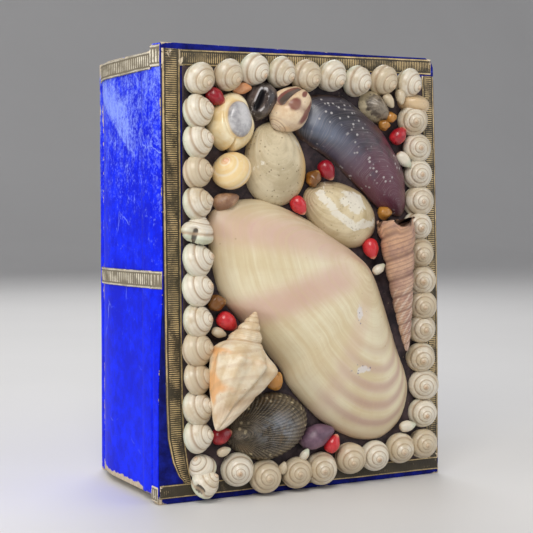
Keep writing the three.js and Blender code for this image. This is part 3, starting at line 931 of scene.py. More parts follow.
def musselFinish():
    finish = Finish("musselShell")
    rings = growthLines(finish, 40, 0.03, 3.0)
    finer = growthLines(finish, 170, 0.015, 6.0)
    cloud = finish.noise(70, detail=4.0, rough=0.6)
    tone = finish.blend((rings * 0.6 + cloud * 0.4).step(0.38, 0.6), srgb(20, 16, 22), srgb(58, 54, 66))
    # painted highlight: a paler blue-grey along the keel, where light catches the ridge
    tone = tone.under(finish.value("ridgeLight") * (0.45 + rings * 0.6), 112, 122, 142)
    purple = finish.value("purple") * (cloud + 0.15).step(0.4, 0.62)
    tone = tone.under(purple * 0.8, 104, 48, 66)
    tone = tone.under(finer.step(0.52, 0.68) * 0.5, 150, 142, 144)
    tone = tone.under(finish.value("edge").step(0.93, 1.0) * 0.6, 112, 84, 62)
    chalk = finish.cells(430).step(0.3, 0.12) * finish.noise(110, detail=3.0).step(0.48, 0.58)
    tone = tone.under(chalk * 0.7, 206, 202, 200)
    height = rings * 0.8 + finer * 0.6 + chalk * 0.3
    return finish.done(
        Base_Color=tone,
        Roughness=0.30 + finer * 0.18 + chalk * 0.3, Coat_Weight=0.3, Coat_Roughness=0.2,
        Normal=finish.bump(height, 0.15, 0.6))


def chalkFinish(name, pale, mid, stain, pitted, gloss=0.5, coat=0.06):
    finish = Finish(name)
    rings = growthLines(finish, 22, 0.05, 2.5)
    finer = growthLines(finish, 90, 0.03, 5.0)
    cloud = finish.noise(80, detail=5.0, rough=0.65)
    tone = finish.blend((cloud * 0.7 + rings * 0.3).step(0.38, 0.6), mid, pale)
    tone = finish.blend(finish.value("stain") * (0.5 + cloud * 0.5), tone, stain)
    flaked = finish.noise(75, detail=5.0, rough=0.7, bend=0.8) + finish.value("chalk") * 0.22
    worn = flaked.step(0.60, 0.66)
    tone = tone.under(worn * 0.7, 238, 234, 222)
    pits = finish.cells(620).step(0.30, 0.08) * finish.noise(95, detail=2.0).step(0.42, 0.54)
    tone = tone.under(pits * pitted, 136, 116, 88)
    height = rings * 0.5 + finer * 0.35 + cloud * 0.4 - pits * 0.8 + worn * 0.25
    return finish.done(
        Base_Color=tone,
        Roughness=gloss + finer * 0.15 + worn * 0.2 + pits * 0.1, Coat_Weight=coat, Coat_Roughness=0.3,
        **softShell,
        Normal=finish.bump(height, 0.17, 0.6))


def seedFinish(name, deep, bright, tip, gloss):
    finish = Finish(name)
    tint = finish.value("tint")
    share = finish.value("share")
    cloud = finish.noise(260, detail=4.0, rough=0.6)
    wrinkles = finish.noise(1.0, detail=4.0, at=finish.stretch(900, 900, 260))
    tone = finish.blend((cloud + (tint - 0.5) * 0.8).step(0.36, 0.62), deep, bright)
    tone = finish.blend(share.step(0.84, 1.0) * 0.8, tone, tip)
    spots = finish.cells(700).step(0.24, 0.12) * finish.noise(300).step(0.55, 0.62)
    tone = tone.under(spots * 0.6, 52, 12, 14)
    return finish.done(
        Base_Color=tone, Roughness=gloss + wrinkles * 0.15, Coat_Weight=0.4, Coat_Roughness=0.16,
        Normal=finish.bump(wrinkles * 0.7 + cloud * 0.5, 0.12, 0.6))


def puttyFinish():
    finish = Finish("darkPutty")
    grain = finish.noise(700, detail=5.0, rough=0.72)
    cloud = finish.noise(110, detail=4.0)
    tone = finish.blend((cloud * 0.6 + grain * 0.4).step(0.38, 0.62), srgb(34, 26, 34), srgb(76, 60, 62))
    grit = finish.cells(620).step(0.2, 0.1) * finish.noise(140).step(0.55, 0.64)
    tone = tone.under(grit * 0.6, 168, 150, 128)
    return finish.done(Base_Color=tone, Roughness=0.62 + grain * 0.25,
                       Normal=finish.bump(grain + cloud, 0.3, 0.7))


def topProfile(share):  # a small spire on a round body, which rounds in again below
    if share < 0.70:
        return 0.02 + 0.98 * math.sin(math.pi / 2 * share / 0.70) ** 0.95
    return math.sqrt(max(1 - ((share - 0.70) / 0.34) ** 2, 0.0))


topShell = dict(radius=6.5, height=11.6, whorls=4.6, growth=1.66, body=0.56, groove=0.13, waist=0.6,
                columns=34, perWhorl=11, profile=topProfile, cords=3)
rows = {
    "borderTop": dict(node="row_top", way=(0.24, -0.36, 0.87), size=1.0, out=4.9, at=[
        (15.9, 165.9), (28.2, 167.7), (39.7, 170.4), (51.9, 169.9), (63.5, 168.9), (75.3, 169.4),
        (87.8, 167.9), (100.6, 168.8), (113.1, 168.1)]),
    "borderLeft": dict(node="row_left", way=(0.50, 0.16, 0.80), size=1.05, out=5.0, at=[
        (15.0, 153.5), (14.9, 141.9), (14.7, 130.1), (14.6, 118.1), (14.6, 95.9), (14.6, 84.6),
        (14.6, 72.2), (14.6, 61.0), (14.6, 49.7), (14.6, 37.9), (14.6, 26.9)]),
    "borderRight": dict(node="row_right", way=(-0.33, -0.10, 0.93), size=1.0, out=4.8, at=[
        (115.3, 152.6), (117.3, 141.0), (117.8, 130.1), (118.5, 118.7), (118.0, 108.2), (119.1, 96.5),
        (119.7, 85.1), (120.3, 74.2), (120.4, 64.1), (120.0, 51.8), (121.4, 39.9), (121.2, 28.0),
        (121.5, 14.7)]),
    "borderBottom": dict(node="row_bottom", way=(-0.28, -0.06, 0.94), size=1.02, out=4.8, at=[
        (31.9, 11.8), (44.6, 7.9), (59.0, 8.1), (70.7, 8.6), (84.7, 11.5), (96.9, 11.4), (109.7, 13.5)]),
}


def makeBorder(pearl):
    for name, row in rows.items():
        heap = Heap()
        for x, z in row["at"]:
            right, up, out = row["way"]
            way = lidWay(right + rng.uniform(-0.10, 0.10), up + rng.uniform(-0.12, 0.12), out)
            size = row["size"] * rng.uniform(0.96, 1.04)
            spec = dict(topShell, radius=topShell["radius"] * size, height=topShell["height"] * size)
            spiralShell(heap, onLid(x, z, row["out"]), way, spec, spin=rng.uniform(0, 6.28),
                        tint=rng.uniform(0.0, 1.0))
        if name == "borderLeft":
            addOddLeftShells(heap)
        finishPiece(heap.make(name, pearl), "lid", "pearl_shell", row["node"])
    print("border done")


def addOddLeftShells(heap):
    # One lies with its mouth outwards, two at the foot lie on their sides, one of them holed. The shade
    # inside the mouth slit and the hole is painted in as dark colour
    def mouth(angle, share, place):
        slit = math.exp(-((angle + 0.15) / 0.30) ** 2) * smooth(0.42, 0.6, share)
        lip = math.exp(-((angle - 0.55) / 0.16) ** 2) * smooth(0.42, 0.6, share)
        return 1 - 0.5 * slit + 0.08 * lip

    # painted shade: marks the mouth slit for the dark mark colour, standing in for the shade inside it
    def dark(angle, share, place):
        return 1.3 * math.exp(-((angle + 0.15) / 0.20) ** 2) * smooth(0.45, 0.6, share)
    spiralShell(heap, onLid(14.6, 107.0, 5.0), lidWay(0.25, 0.9, 0.1), topShell, 0.6, 0.9, mouth, dark)
    # Of the two at the foot, the upper leans to the left and the lower is holed
    spiralShell(heap, onLid(13.4, 18.0, 5.4), lidWay(-0.62, 0.66, 0.42),
                dict(topShell, radius=5.4, waist=0.1), 1.0, 1.0)

    def holed(angle, share, place):
        gap = math.hypot((angle - 0.1) / 0.5, (share - 0.66) / 0.17)
        return 1 - 0.35 * smooth(1.1, 0.7, gap)

    # painted shade: marks the hole for the dark mark colour, standing in for the shade inside it
    def holeShade(angle, share, place):
        return 0.75 * smooth(1.05, 0.85, math.hypot((angle - 0.1) / 0.5, (share - 0.66) / 0.17))
    spiralShell(heap, onLid(17.6, 8.0, 5.0), lidWay(0.45, 0.55, 0.7), dict(topShell, radius=5.8), 1.0, 0.7,
                holed, holeShade)


conch = dict(node="conch", foot=(19.0, 29.8), tip=(36.0, 75.4), out=12.4, radius=12.4, columns=120,
             perWhorl=26,
             whorls=6.2, growth=1.5, body=0.72, groove=0.14, waist=0.5, cords=6)


def conchProfile(share):  # spire, shoulder, then a long taper to the canal
    if share < 0.28:
        return 0.04 + 0.56 * (share / 0.28) ** 0.95
    if share < 0.42:
        return 0.60 + 0.40 * math.sin(math.pi / 2 * (share - 0.28) / 0.14)
    taper = 0.20 + 0.80 * max(math.cos(math.pi / 2 * (share - 0.42) / 0.58), 0.0) ** 1.35
    return taper * math.sqrt(max(1 - max((share - 0.90) / 0.102, 0) ** 2, 0.0))


def conchShape(angle, share, place):
    body = smooth(0.30, 0.40, share)
    knobs = (0.5 + 0.5 * math.cos(angle * 9)) ** 1.6 * math.exp(-((share - 0.40) / 0.07) ** 2)
    knobs += 0.5 * (0.5 + 0.5 * math.cos(angle * 11)) * math.exp(-((place - 0.55) / 0.2) ** 2) * (1 - body)
    folds = 0.03 * math.cos(angle * 9) * body * smooth(0.85, 0.5, share)
    seam = lipAt(share)
    crease = math.exp(-((angle - seam) / 0.085) ** 2) * body
    beside = math.exp(-((angle - seam + 0.20) / 0.14) ** 2) * body
    flare = smooth(seam + 0.1, seam + 0.5, angle) * smooth(seam + 1.4, seam + 0.9, angle) * body
    cords = 0.010 * math.sin(share * 210) - 0.16 * max(-math.sin(angle), 0.0) * body
    return 1 + 0.12 * knobs - 0.15 * crease + 0.04 * beside + 0.10 * flare + folds + cords


def lipAt(share):  # the angle of the lip's edge, which runs back to the viewer along the canal
    return 1.02 - 1.05 * (share - 0.4)


def conchMark(angle, share, place):
    left = math.exp(-((angle + 1.0) / 0.5) ** 2) * smooth(0.34, 0.44, share)
    belt = math.exp(-((share - 0.66) / 0.07) ** 2) * smooth(0.9, 0.2, angle)
    canal = smooth(0.78, 0.9, share)
    shoulder = 0.45 * math.exp(-((share - 0.38) / 0.04) ** 2)
    return (0.54 * left + 0.46 * belt + shoulder) * (1 - canal)


turret = dict(node="turret_shell", foot=(104.2, 110.0), tip=(110.2, 55.6), out=8.6, radius=7.9, columns=72,
              perWhorl=18, whorls=8.4, growth=1.17, groove=0.13, waist=0.5, cords=5, jag=1.6)


def turretProfile(share):
    return 0.06 + 0.94 * share ** 0.74


def turretShape(angle, share, place):
    broken = 1 - 0.10 * smooth(0.95, 1.0, share) * (0.5 + 0.5 * math.sin(angle * 5 + 1))
    rough = 0.02 * noise.noise(Vector((math.cos(angle) * 2, math.sin(angle) * 2, share * 22)))
    return broken * (1 + 0.016 * math.cos(place * 2 * math.pi * 5) + rough)


def turretMark(angle, share, place):  # pale slanting flecks on the older whorls
    streak = math.sin(angle * 6 + place * 5 + share * 31)
    return (0.3 + 0.45 * max(streak, 0.0)) * smooth(0.75, 0.35, share)


striped = dict(node="striped_shell", foot=(61.4, 162.4), tip=(47.0, 147.6), out=7.2, radius=7.9, columns=96,
               perWhorl=40, whorls=3.6, growth=1.6, body=0.86, groove=0.08, waist=0.5, cords=2)


def stripedProfile(share):
    if share < 0.45:
        return 0.02 + 0.98 * math.sin(math.pi / 2 * share / 0.45) ** 0.7
    taper = 0.34 + 0.66 * max(math.cos(math.pi / 2 * (share - 0.45) / 0.55), 0.0) ** 0.8
    return taper * math.sqrt(max(1 - max((share - 0.92) / 0.082, 0) ** 2, 0.0))


def stripedShape(angle, share, place):  # a long mouth, and the thick lip beyond it
    body = smooth(0.30, 0.42, share)
    mouth = math.exp(-((angle - 0.72) / 0.27) ** 2) * body
    lip = math.exp(-((angle - 1.25) / 0.20) ** 2) * body
    return 1 - 0.42 * mouth + 0.14 * lip


def stripedMark(angle, share, place):
    body = smooth(0.36, 0.44, share) * smooth(0.98, 0.92, share)
    # the mouth's mark runs to 2.0, past the 1.15 where the finish paints the shade inside it
    mouth = 2.0 * math.exp(-((angle - 0.74) / 0.30) ** 4) * body
    red = 0.0
    for spot, along, wide, long in ((-0.06, 0.52, 0.42, 0.20), (-0.12, 0.86, 0.24, 0.14),
                                    (-1.02, 0.60, 0.34, 0.36), (-1.9, 0.5, 0.3, 0.3)):
        red = max(red, math.exp(-((angle - spot) / wide) ** 2 - ((share - along) / long) ** 2))
    return max(0.85 * red, mouth)


snail = dict(node="moon_snail", at=(28.6, 130.6), out=6.2, radius=8.0, height=13.5, columns=64, perWhorl=16,
             whorls=3.6, growth=2.5, groove=0.04, waist=0.58, cords=2)


def snailProfile(share):
    if share < 0.56:
        return math.sin(math.pi / 2 * share / 0.56) ** 0.85
    return max(math.cos(math.pi / 2 * (share - 0.56) / 0.5), 0.04) ** 0.5


def layShell(name, spec, profile, shape, material, slot, spin, tint=0.5, mark=None):
    # A coiled shell lying along the lid, between its foot and its tip
    foot, tip = onLid(*spec["foot"], spec["out"]), onLid(*spec["tip"], spec.get("tipOut", spec["out"]))
    full = dict(spec, height=(tip - foot).length / mm, profile=profile)
    heap = Heap()
    spiralShell(heap, (foot + tip) / 2, (tip - foot).normalized(), full, spin, tint, shape, mark)
    finishPiece(heap.make(name, material), "lid", slot, spec["node"])


def makeCoiledShells():
    conchTone = spiralFinish("conchShell", srgb(230, 217, 190), srgb(216, 194, 157), srgb(184, 146, 104),
                             srgb(236, 222, 198), srgb(224, 196, 158), 0.34, 0.2, srgb(226, 168, 106),
                             0.5, 0.3)
    layShell("conchShell", conch, conchProfile, conchShape, conchTone, "conch_shell", 0.0, mark=conchMark)
    turretTone = spiralFinish("turretShell", srgb(214, 176, 148), srgb(180, 142, 124), srgb(122, 90, 78),
                              srgb(212, 166, 130), srgb(170, 144, 136), 0.42, 0.12, srgb(222, 198, 178),
                              0.7, 0.5)
    layShell("turretShell", turret, turretProfile, turretShape, turretTone, "turret_shell", 0.3,
             mark=turretMark)
    # its last colour, a dark brown-grey, is the painted shade inside the long mouth
    stripedTone = spiralFinish("stripedShell", srgb(236, 216, 184), srgb(222, 192, 154), srgb(150, 110, 90),
                               srgb(232, 206, 170), srgb(214, 198, 178), 0.24, 0.35, srgb(112, 26, 26),
                               0.6, 0.2, srgb(84, 72, 60))
    layShell("stripedShell", striped, stripedProfile, stripedShape, stripedTone, "striped_shell", 0.3,
             mark=stripedMark)
    snailTone = spiralFinish("moonSnail", srgb(238, 210, 152), srgb(232, 196, 134), srgb(240, 226, 200),
                             srgb(228, 190, 128), srgb(214, 140, 104), 0.26, 0.4)
    heap = Heap()
    spiralShell(heap, onLid(*snail["at"], snail["out"]), lidWay(-0.62, 0.55, 0.56),
                dict(snail, profile=snailProfile), 0.4, 0.7)
    finishPiece(heap.make("moonSnail", snailTone), "lid", "snail_shell", snail["node"])
    print("coiled shells done")


largeClam = dict(
    node="large_clam", beak=(90.5, 91.0), crown=(68, 68), foot=2.2, rise=15.0, flat=2.1, steep=0.62,
    rays=220, rings=84,
    outline=[(108.6, 56), (101.5, 76), (95.6, 89.5), (88.2, 96.6), (74.4, 105.7), (56.5, 114.8),
             (39.2, 119.6), (24.1, 116.5), (19.6, 108), (24.5, 83.6), (34.2, 70.9), (51, 52.4),
             (56.6, 42.7), (70.7, 28.5), (84.3, 20.8), (94.7, 18.6), (103.0, 19.8), (111.4, 27.0),
             (114.2, 41)])


clamBands = [dict(angle=160, bend=-8, half=7.0, depth=0.62), dict(angle=197, bend=-1, half=6.6, depth=0.66),
             dict(angle=246, bend=0, half=4.0, depth=0.25)]


def clamRelief(x, z, grown, ray, edge):
    steps = 0.10 * math.sin(grown * 46) * smooth(0.25, 0.6, grown)
    return steps + 0.35 * noise.noise(Vector((x / 16, z / 16, 0)))


def clamPaint(x, z, grown, ray, edge):
    angle = math.atan2(z - 94, x - 94) % (2 * math.pi)
    away = math.hypot(z - 94, x - 94)
    pink = 0.0
    for band in clamBands:
        middle = math.radians(band["angle"] - band["bend"] * away / 70)
        offset = away * math.sin(angle - middle)
        if math.cos(angle - middle) > 0:
            pink = max(pink, band["depth"] * math.exp(-abs(offset / band["half"]) ** 3.2))
    turn = math.degrees(angle)
    lower = smooth(228, 264, turn) * smooth(0.25, 0.7, grown)
    scuff = 0.78 * math.exp(-(((x - 82.5) / 3) ** 2 + ((z - 73.5) / 4.5) ** 2))
    scar = 0.74 * math.exp(-(((x - 84.5) / 6) ** 2 + ((z - 50) / 2.6) ** 2))
    return dict(pink=pink * smooth(0.02, 0.3, grown), tan=lower, scar=max(scuff, scar))


mussel = dict(
    node="mussel", beak=(109.0, 115.2), crown=(86, 142), foot=2.0, rise=11.5, flat=2.0, steep=0.66,
    rays=170, rings=70,
    outline=[(104.6, 142.4), (98.4, 150), (85.1, 159.4), (77.4, 162), (65.1, 161.1), (60.4, 155),
             (59.6, 146.1), (75.1, 136.4), (88.6, 125), (98.5, 116.4), (108.6, 112.4), (112.6, 114.5),
             (113.0, 122), (111.4, 132)])


def musselPaint(x, z, grown, ray, edge):
    # The keel runs from the beak along the shell's upper half, and a painted highlight runs along it
    along = Vector((60 - 107, 157 - 115.6)).normalized()
    offset = (x - 107) * along.y - (z - 115.6) * along.x
    away = math.hypot(x - 109, z - 115)
    light = math.exp(-((offset + 1.5) / 5.0) ** 2) * smooth(14, 34, away)
    return dict(ridgeLight=light, purple=smooth(50, 20, away))


def makeLargeShells():
    makeDome("largeClam", largeClam, clamFinish(), "clam_shell", "large_clam", clamRelief, clamPaint)
    makeDome("musselShell", mussel, musselFinish(), "mussel_shell", "mussel", None, musselPaint)
    print("large shells done")


creamUpper = dict(
    beak=(46.0, 148.0), crown=(49.9, 133), foot=1.8, rise=8.2, flat=2.2, steep=0.6, rays=110, rings=40,
    outline=ovalOutline(49.9, 133.5, 17.2, 14.0, 96, 0.10))
creamLower = dict(
    beak=(66.5, 120.5), crown=(79, 114.3), foot=1.8, rise=8.0, flat=2.3, steep=0.6, rays=110, rings=40,
    outline=ovalOutline(80.4, 113.6, 18.6, 12.4, -26, -0.10))
limpet = dict(
    beak=(97.9, 158.0), crown=(97.9, 157.8), foot=1.8, rise=7.2, flat=1.5, steep=0.8, rays=72, rings=20,
    outline=ovalOutline(98.0, 157.2, 9.0, 5.5, -38, 0.3))
cowrie = dict(
    beak=(29.4, 149.4), crown=(29.4, 148.4), foot=1.8, rise=10.0, flat=2.6, steep=0.55, rays=120, rings=44,
    outline=[(24.5, 158), (29.8, 161.6), (34.6, 160.2), (37.6, 154.6), (39.6, 147.8), (37.0, 141.6),
             (32.8, 138.6), (29.2, 138.0), (28.0, 140.6), (26.6, 138.4), (22.6, 141.0), (19.6, 146.4),
             (20.6, 152.2)])
ribbed = dict(
    beak=(28.4, 26.4), crown=(45, 28), foot=1.9, rise=11.5, flat=2.1, steep=0.62, rays=240, rings=60,
    outline=[(63.7, 34), (56, 40), (44.8, 41.5), (33, 36), (27.3, 25.6), (35, 17), (47.1, 14.3), (59, 19),
             (64.2, 26)])
greyBroken = dict(
    beak=(43.2, 158.6), crown=(43.4, 158.8), foot=1.8, rise=8.4, flat=2.3, steep=0.6, rays=96, rings=40,
    outline=ovalOutline(43.4, 158.4, 8.2, 6.4, 64, -0.12))
olive = dict(
    beak=(123.6, 158.0), crown=(117.0, 159.6), foot=1.2, rise=7.6, flat=2.2, steep=0.6, rays=64, rings=24,
    outline=ovalOutline(116.9, 159.8, 7.8, 4.5, 172, 0.1))


def cowrieReach(x, z):  # 1 on the line round the raised grey back
    return math.hypot((x - 30.2) / 5.6, (z - 150.6) / 7.4)


def cowrieHump(x, z):  # 1 on the raised back, 0 on the callus round it
    return smooth(1.06, 0.86, cowrieReach(x, z))


def turned(u, v, degrees):
    a = math.radians(degrees)
    return u * math.cos(a) + v * math.sin(a), v * math.cos(a) - u * math.sin(a)


def streaks(x, z, grown, ray, edge):
    return 0.12 * math.sin(grown * 30) + 0.5 * noise.noise(Vector((x / 7, z / 7, 2)))


def yellowRight(x, z, grown, ray, edge):
    return dict(stain=smooth(56, 64, x), chalk=0.0)


chalkLine = [(68.7, 121.6), (75, 113.6), (84, 107.9), (94.8, 111.7)]  # a flaked band on the lower valve


def chalky(x, z, grown, ray, edge):
    patch = 0.85 * math.exp(-(((x - 84) / 8) ** 4 + ((z - 118) / 4.4) ** 4))
    for (x0, z0), (x1, z1) in zip(chalkLine, chalkLine[1:]):
        along, up = x1 - x0, z1 - z0
        t = min(max(((x - x0) * along + (z - z0) * up) / (along ** 2 + up ** 2), 0), 1)
        apart = math.hypot(x - mix(x0, x1, t), z - mix(z0, z1, t))
        patch = max(patch, 0.9 * math.exp(-(apart / 2.2) ** 4))
    return dict(stain=smooth(0.62, 1.0, edge), chalk=patch)


def humped(x, z, grown, ray, edge):
    moat = math.exp(-((cowrieReach(x, z) - 1.05) / 0.14) ** 2)
    return 1.1 * cowrieHump(x, z) - 0.9 * moat + 0.25 * noise.noise(Vector((x / 4, z / 4, 5)))


def humpPaint(x, z, grown, ray, edge):
    return dict(hump=cowrieHump(x, z))


def ribs(x, z, grown, ray, edge):
    fade = smooth(0.06, 0.3, grown)
    return fade * (0.32 * math.sin(ray * 2 * math.pi * 46) + 0.10 * math.sin(grown * 90))


def cone(x, z, grown, ray, edge):
    return 0.25 * math.sin(ray * 2 * math.pi * 18) * grown


def slit(x, z, grown, ray, edge):
    u, v = turned(x - 40.6, z - 158.6, 70)
    cut = math.exp(-((v / 1.15) ** 2 + (u / 4.6) ** 4))
    rim = math.exp(-((math.hypot(v / 2.0, u / 5.2) - 1) / 0.2) ** 2)
    return -3.4 * cut + 0.7 * rim


def slitPaint(x, z, grown, ray, edge):
    u, v = turned(x - 40.6, z - 158.6, 70)
    # cut marks the slit's opening, where the finish paints its shade near black
    cut = math.exp(-((v / 1.1) ** 2 + (u / 4.4) ** 4))
    rim = math.exp(-((math.hypot(v / 2.0, u / 5.2) - 1) / 0.24) ** 2)
    return dict(cut=cut, rim=rim)


def fold(x, z, grown, ray, edge):
    return 0.8 * math.exp(-((z - 161.2 + (x - 117) * 0.12) / 0.7) ** 2) * (1 - edge)


def cowrieFinish():
    finish = Finish("moneyCowrie")
    hump = finish.value("hump")
    cloud = finish.noise(150, detail=4.0, rough=0.6)
    callus = finish.blend(cloud.step(0.36, 0.62), srgb(232, 206, 152), srgb(240, 226, 190))
    back = finish.blend(cloud.step(0.40, 0.60), srgb(150, 148, 150), srgb(196, 194, 194))
    tone = finish.blend((hump + (finish.noise(300, detail=3.0) - 0.5) * 0.3).step(0.35, 0.7), callus, back)
    spots = finish.cells(420).step(0.16, 0.07) * finish.noise(120).step(0.54, 0.62)
    tone = tone.under(spots * 0.6, 142, 112, 78)
    ring = hump.step(0.02, 0.3) * hump.step(0.85, 0.5)
    tone = tone.under(ring * 0.3, 206, 168, 120)
    return finish.done(Base_Color=tone, Roughness=0.2 + cloud * 0.12, Coat_Weight=0.5, Coat_Roughness=0.12,
                       Normal=finish.bump(cloud + spots * -0.4, 0.1, 0.5))


def ribbedFinish():
    finish = Finish("ribbedShell")
    ribs = (finish.value("ray") * (2 * math.pi * 46)).sin() * 0.5 + 0.5
    rings = growthLines(finish, 60, 0.03, 8.0)
    cloud = finish.noise(130, detail=4.0, rough=0.65)
    tone = finish.blend((cloud * 0.5 + rings * 0.5).step(0.38, 0.62), srgb(34, 28, 22), srgb(98, 86, 68))
    tone = tone.under(ribs * (0.1 + rings.step(0.4, 0.6) * 0.4), 158, 144, 120)
    brown = finish.noise(75, detail=4.0, rough=0.7, bend=0.6).step(0.52, 0.60)
    tone = tone.under(brown * 0.6, 120, 100, 72)
    # painted sheen: pale blue-grey laid over the middle of the valve
    paintedSheen = finish.value("edge").step(0.7, 0.2) * cloud.step(0.4, 0.6)
    tone = tone.under(paintedSheen * 0.5, 150, 160, 174)
    specks = (finish.cells(330).step(0.30, 0.12)) * finish.value("edge").step(0.45, 0.9)
    tone = tone.under(specks * 0.75, 214, 198, 160)
    return finish.done(Base_Color=tone, Roughness=0.36 + rings * 0.25, Coat_Weight=0.25, Coat_Roughness=0.2,
                       Normal=finish.bump(rings + cloud * 0.5, 0.18, 0.7))


def limpetFinish():
    finish = Finish("limpetShell")
    cloud = finish.noise(240, detail=4.0, rough=0.65)
    edge = finish.value("edge")
    tone = finish.blend(cloud.step(0.38, 0.62), srgb(86, 76, 66), srgb(150, 138, 120))
    rim = (edge + (cloud - 0.5) * 0.5).step(0.66, 0.82)
    tone = tone.under(rim * 0.85, 214, 200, 166)
    dark = finish.cells(480).step(0.26, 0.12) * edge.step(0.6, 0.8)
    tone = tone.under(dark * 0.8, 74, 62, 66)
    return finish.done(Base_Color=tone, Roughness=0.24 + cloud * 0.2, Coat_Weight=0.35, Coat_Roughness=0.16,
                       Normal=finish.bump(cloud, 0.16, 0.6))


def brokenFinish():
    finish = Finish("brokenShell")
    cloud = finish.noise(210, detail=4.0, rough=0.65)
    tone = finish.blend(cloud.step(0.38, 0.62), srgb(48, 40, 40), srgb(104, 94, 90))
    # painted shade: the slit's opening is painted near black
    tone = tone.under(finish.value("cut").step(0.2, 0.6), 20, 18, 22)
    rim = finish.value("rim").step(0.5, 0.9) * cloud.step(0.46, 0.56)
    tone = tone.under(rim * 0.85, 200, 198, 200)
    specks = finish.cells(520).step(0.18, 0.08)
    tone = tone.under(specks * 0.5, 182, 176, 168)
    return finish.done(Base_Color=tone, Roughness=0.26 + cloud * 0.2, Coat_Weight=0.35, Coat_Roughness=0.15,
                       Normal=finish.bump(cloud, 0.16, 0.6))


def plain(x, z, grown, ray, edge):
    return dict(stain=0.5, chalk=0.0)


def makeSmallValves():
    upper = chalkFinish("creamClamUpper", srgb(214, 200, 168), srgb(188, 172, 138), srgb(222, 176, 100),
                        0.9, 0.46, 0.08)
    makeDome("creamClamUpper", creamUpper, upper, "chalky_shell", "cream_clam_upper", streaks, yellowRight)
    lower = chalkFinish("creamClamLower", srgb(220, 204, 168), srgb(194, 174, 132), srgb(168, 146, 112),
                        0.5, 0.5, 0.04)
    makeDome("creamClamLower", creamLower, lower, "chalky_shell", "cream_clam_lower", streaks, chalky)
    makeDome("moneyCowrie", cowrie, cowrieFinish(), "cowrie_shell", "money_cowrie", humped, humpPaint)
    makeDome("ribbedShell", ribbed, ribbedFinish(), "ribbed_shell", "ribbed_shell", ribs)
    makeDome("limpetShell", limpet, limpetFinish(), "grey_shell", "limpet", cone)
    makeDome("brokenShell", greyBroken, brokenFinish(), "grey_shell", "grey_broken_shell", slit, slitPaint)
    tan = chalkFinish("oliveShell", srgb(226, 206, 170), srgb(206, 178, 136), srgb(196, 158, 110), 0.2,
                      0.26, 0.35)
    makeDome("oliveShell", olive, tan, "pearl_shell", "olive_shell", fold, plain)
    print("small valves done")


redSeeds = [(22.3, 159.2, -35, 4.0), (72.7, 131.2, -62, 4.2), (59.6, 116.9, -60, 4.0),
            (94.2, 98.9, -80, 4.2), (107.8, 146.3, 50, 4.0), (27.2, 71.2, -40, 4.4),
            (24.6, 26.4, 20, 4.2), (75.7, 18.9, 65, 4.0)]
amberSeeds = [(66.6, 128.1, 60, 3.6), (101.2, 113.9, 0, 3.2), (22.7, 78.8, 10, 3.8), (48.6, 46.6, 60, 4.0),
              (103.8, 153.9, 0, 2.8), (100.8, 150.4, 0, 2.6)]
riceShells = [(102.3, 160.5, -60, 3.4), (108.0, 162.3, -85, 3.4), (110.0, 136.0, -48, 4.2),
              (97.7, 90.5, 40, 3.2), (23.1, 67.2, -20, 3.2), (25.2, 20.1, 20, 3.0),
              (62.1, 15.6, 60, 2.8), (112.5, 23.2, 10, 3.8), (51.9, 11.0, 80, 2.8)]


def addBean(heap, x, z, tilt, long, wide, out, blunt, wobble, seed, lean=0.25):
    # A teardrop: blunt below, drawn to a tip above; slightly angular, as dried things are
    turn = math.radians(tilt)
    way = lidWay(math.cos(turn), math.sin(turn), lean)
    side = way.cross(Vector((0, -1, 0))).normalized()
    across = way.cross(side)
    rings, rays = 18, 24
    points, shares = [], []
    tone = rng.random()
    for j in range(rings + 1):
        share = j / rings
        swell = math.sqrt(max(1 - abs(2 * share ** blunt - 1) ** 2.3, 0.0))
        radius = wide * swell * (1 - 0.34 * smooth(0.5, 1.0, share))
        for i in range(rays):
            a = 2 * math.pi * i / rays
            bump = 1 + wobble * noise.noise(Vector((math.cos(a) * 1.3, math.sin(a) * 1.3,
                                                    share * 2 + seed)))
            spoke = side * math.cos(a) + across * math.sin(a)
            points.append(onLid(x, z, out) + (way * long * (share * 2 - 1) + spoke * radius * bump) * mm)
            shares.append(share)
    faces = gridFaces(rings + 1, rays, wrap=True)
    heap.add(points, faces, share=shares, tint=[tone] * len(points), groove=[1.0] * len(points),
             ridge=[0.5] * len(points))


def addSeeds(name, seeds, material, slot, node, stretch, wide, out, blunt, wobble, seedStep, seedStart=0):
    heap = Heap()
    for k, (x, z, tilt, long) in enumerate(seeds):
        addBean(heap, x, z, tilt, long * stretch, long * wide, out, blunt, wobble, k * seedStep + seedStart)
    nodes = ["%s_%d" % (node, k + 1) for k in range(len(seeds))] if node else []
    finishPiece(heap.make(name, material), "lid", slot, *nodes)


fragments = {
    "purpleFragment": dict(
        finish="purpleShell", slot="purple_shell", node="purple_fragment",
        bean=(68.6, 22.4, 20, 8.0, 4.6, 4.6, 0.9, 0.2, 11.0),
        tones=[(128, 98, 116), (96, 70, 88), (72, 48, 66), (126, 94, 112), (176, 150, 162)]),
    "brownShell": dict(
        finish="brownShell", slot="conch_shell", node="brown_ribbed_shell",
        bean=(27.0, 118.8, 20, 5.6, 3.4, 4.6, 0.9, 0.15, 12.0),
        tones=[(188, 152, 118), (142, 104, 78), (84, 58, 44), (160, 120, 92), (206, 178, 146)]),
    "orangeFragment": dict(
        finish="orangeShell", slot="conch_shell", node="orange_fragment",
        bean=(34.2, 163.0, 5, 4.2, 2.2, 4.2, 0.95, 0.2, 13.0),
        tones=[(230, 190, 150), (214, 150, 104), (160, 96, 60), (222, 166, 120), (230, 200, 170)]),
}


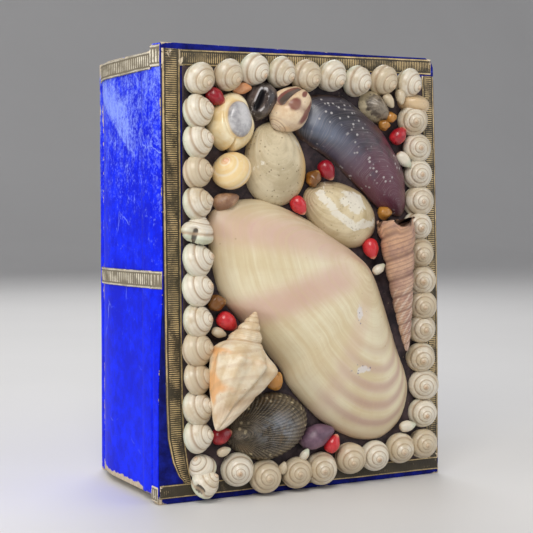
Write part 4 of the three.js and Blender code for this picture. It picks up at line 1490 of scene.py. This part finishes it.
def makeSeeds(pearl):
    red = seedFinish("redSeed", srgb(150, 8, 30), srgb(204, 42, 50), srgb(232, 176, 142), 0.22)
    addSeeds("redSeeds", redSeeds, red, "red_seed", "red_seed", 1.08, 0.8, 5.2, 0.86, 0.05, 3.1)
    amber = seedFinish("amberSeed", srgb(120, 74, 22), srgb(184, 126, 50), srgb(208, 160, 90), 0.24)
    addSeeds("amberSeeds", amberSeeds, amber, "amber_seed", "amber_seed", 1.0, 0.82, 5.0, 0.95, 0.45,
             2.3, 40)
    addSeeds("riceShells", riceShells, pearl, "pearl_shell", None, 1.0, 0.62, 6.0, 0.9, 0.12, 1.7, 80)
    for name, spec in fragments.items():
        material = spiralFinish(spec["finish"], *(srgb(*tone) for tone in spec["tones"]), 0.4, 0.15)
        heap = Heap()
        addBean(heap, *spec["bean"])
        finishPiece(heap.make(name, material), "lid", spec["slot"], spec["node"])
    print("seeds done")


puttySpan = dict(left=10.2, right=126.4, tail=4.4, head=171.6, rows=150, columns=110)


def puttyInset(x, z):  # 0 outside the bed's ragged edge, 1 well inside it
    gap = min(x - 15.2, 122.4 - x - (z - 14) * 0.035, z - 8.4 - (x - 30) * 0.02, 167.6 - z)
    return smooth(0.0, 2.6, gap + 1.1 * noise.noise(Vector((x / 5, z / 5, 7))))


def makePutty():  # lumpy putty, pressed up between the shells
    rows, columns = puttySpan["rows"], puttySpan["columns"]
    spots = [(mix(puttySpan["left"], puttySpan["right"], i / columns),
              mix(puttySpan["tail"], puttySpan["head"], j / rows))
             for j in range(rows + 1) for i in range(columns + 1)]
    points = []
    for x, z in spots:
        lumps = 0.9 * noise.noise(Vector((x / 4.2, z / 4.2, 1))) + 0.5 * noise.noise(Vector((x / 1.9,
                                                                                             z / 1.9, 4)))
        points.append(onLid(x, z, max((1.9 + lumps) * puttyInset(x, z), 0.02)))
    points += [onLid(x, z, -0.03) for x, z in spots]
    bed = makeObject("puttyBed", points, sheetFaces(rows, columns), None, puttyFinish())
    finishPiece(bed, "lid", "putty", "glue_bed")
    print("putty done")


makeCamera()
makeLights()
makeFloor()
makeBoards()
makeTrims()
makeBands()
makeHinge()
# The pearl shells' mark colour is painted shade, dark in the mouth slit and the hole of the odd border
# shells
pearlFinish = spiralFinish("pearlShell", srgb(226, 218, 200), srgb(206, 191, 163), srgb(172, 144, 112),
                           srgb(194, 206, 180), srgb(202, 168, 132), markAndShadeTone=srgb(46, 40, 38), line=0.75,
                           nacre=0.45)
makePutty()
makeBorder(pearlFinish)
makeCoiledShells()
makeLargeShells()
makeSmallValves()
makeSeeds(pearlFinish)
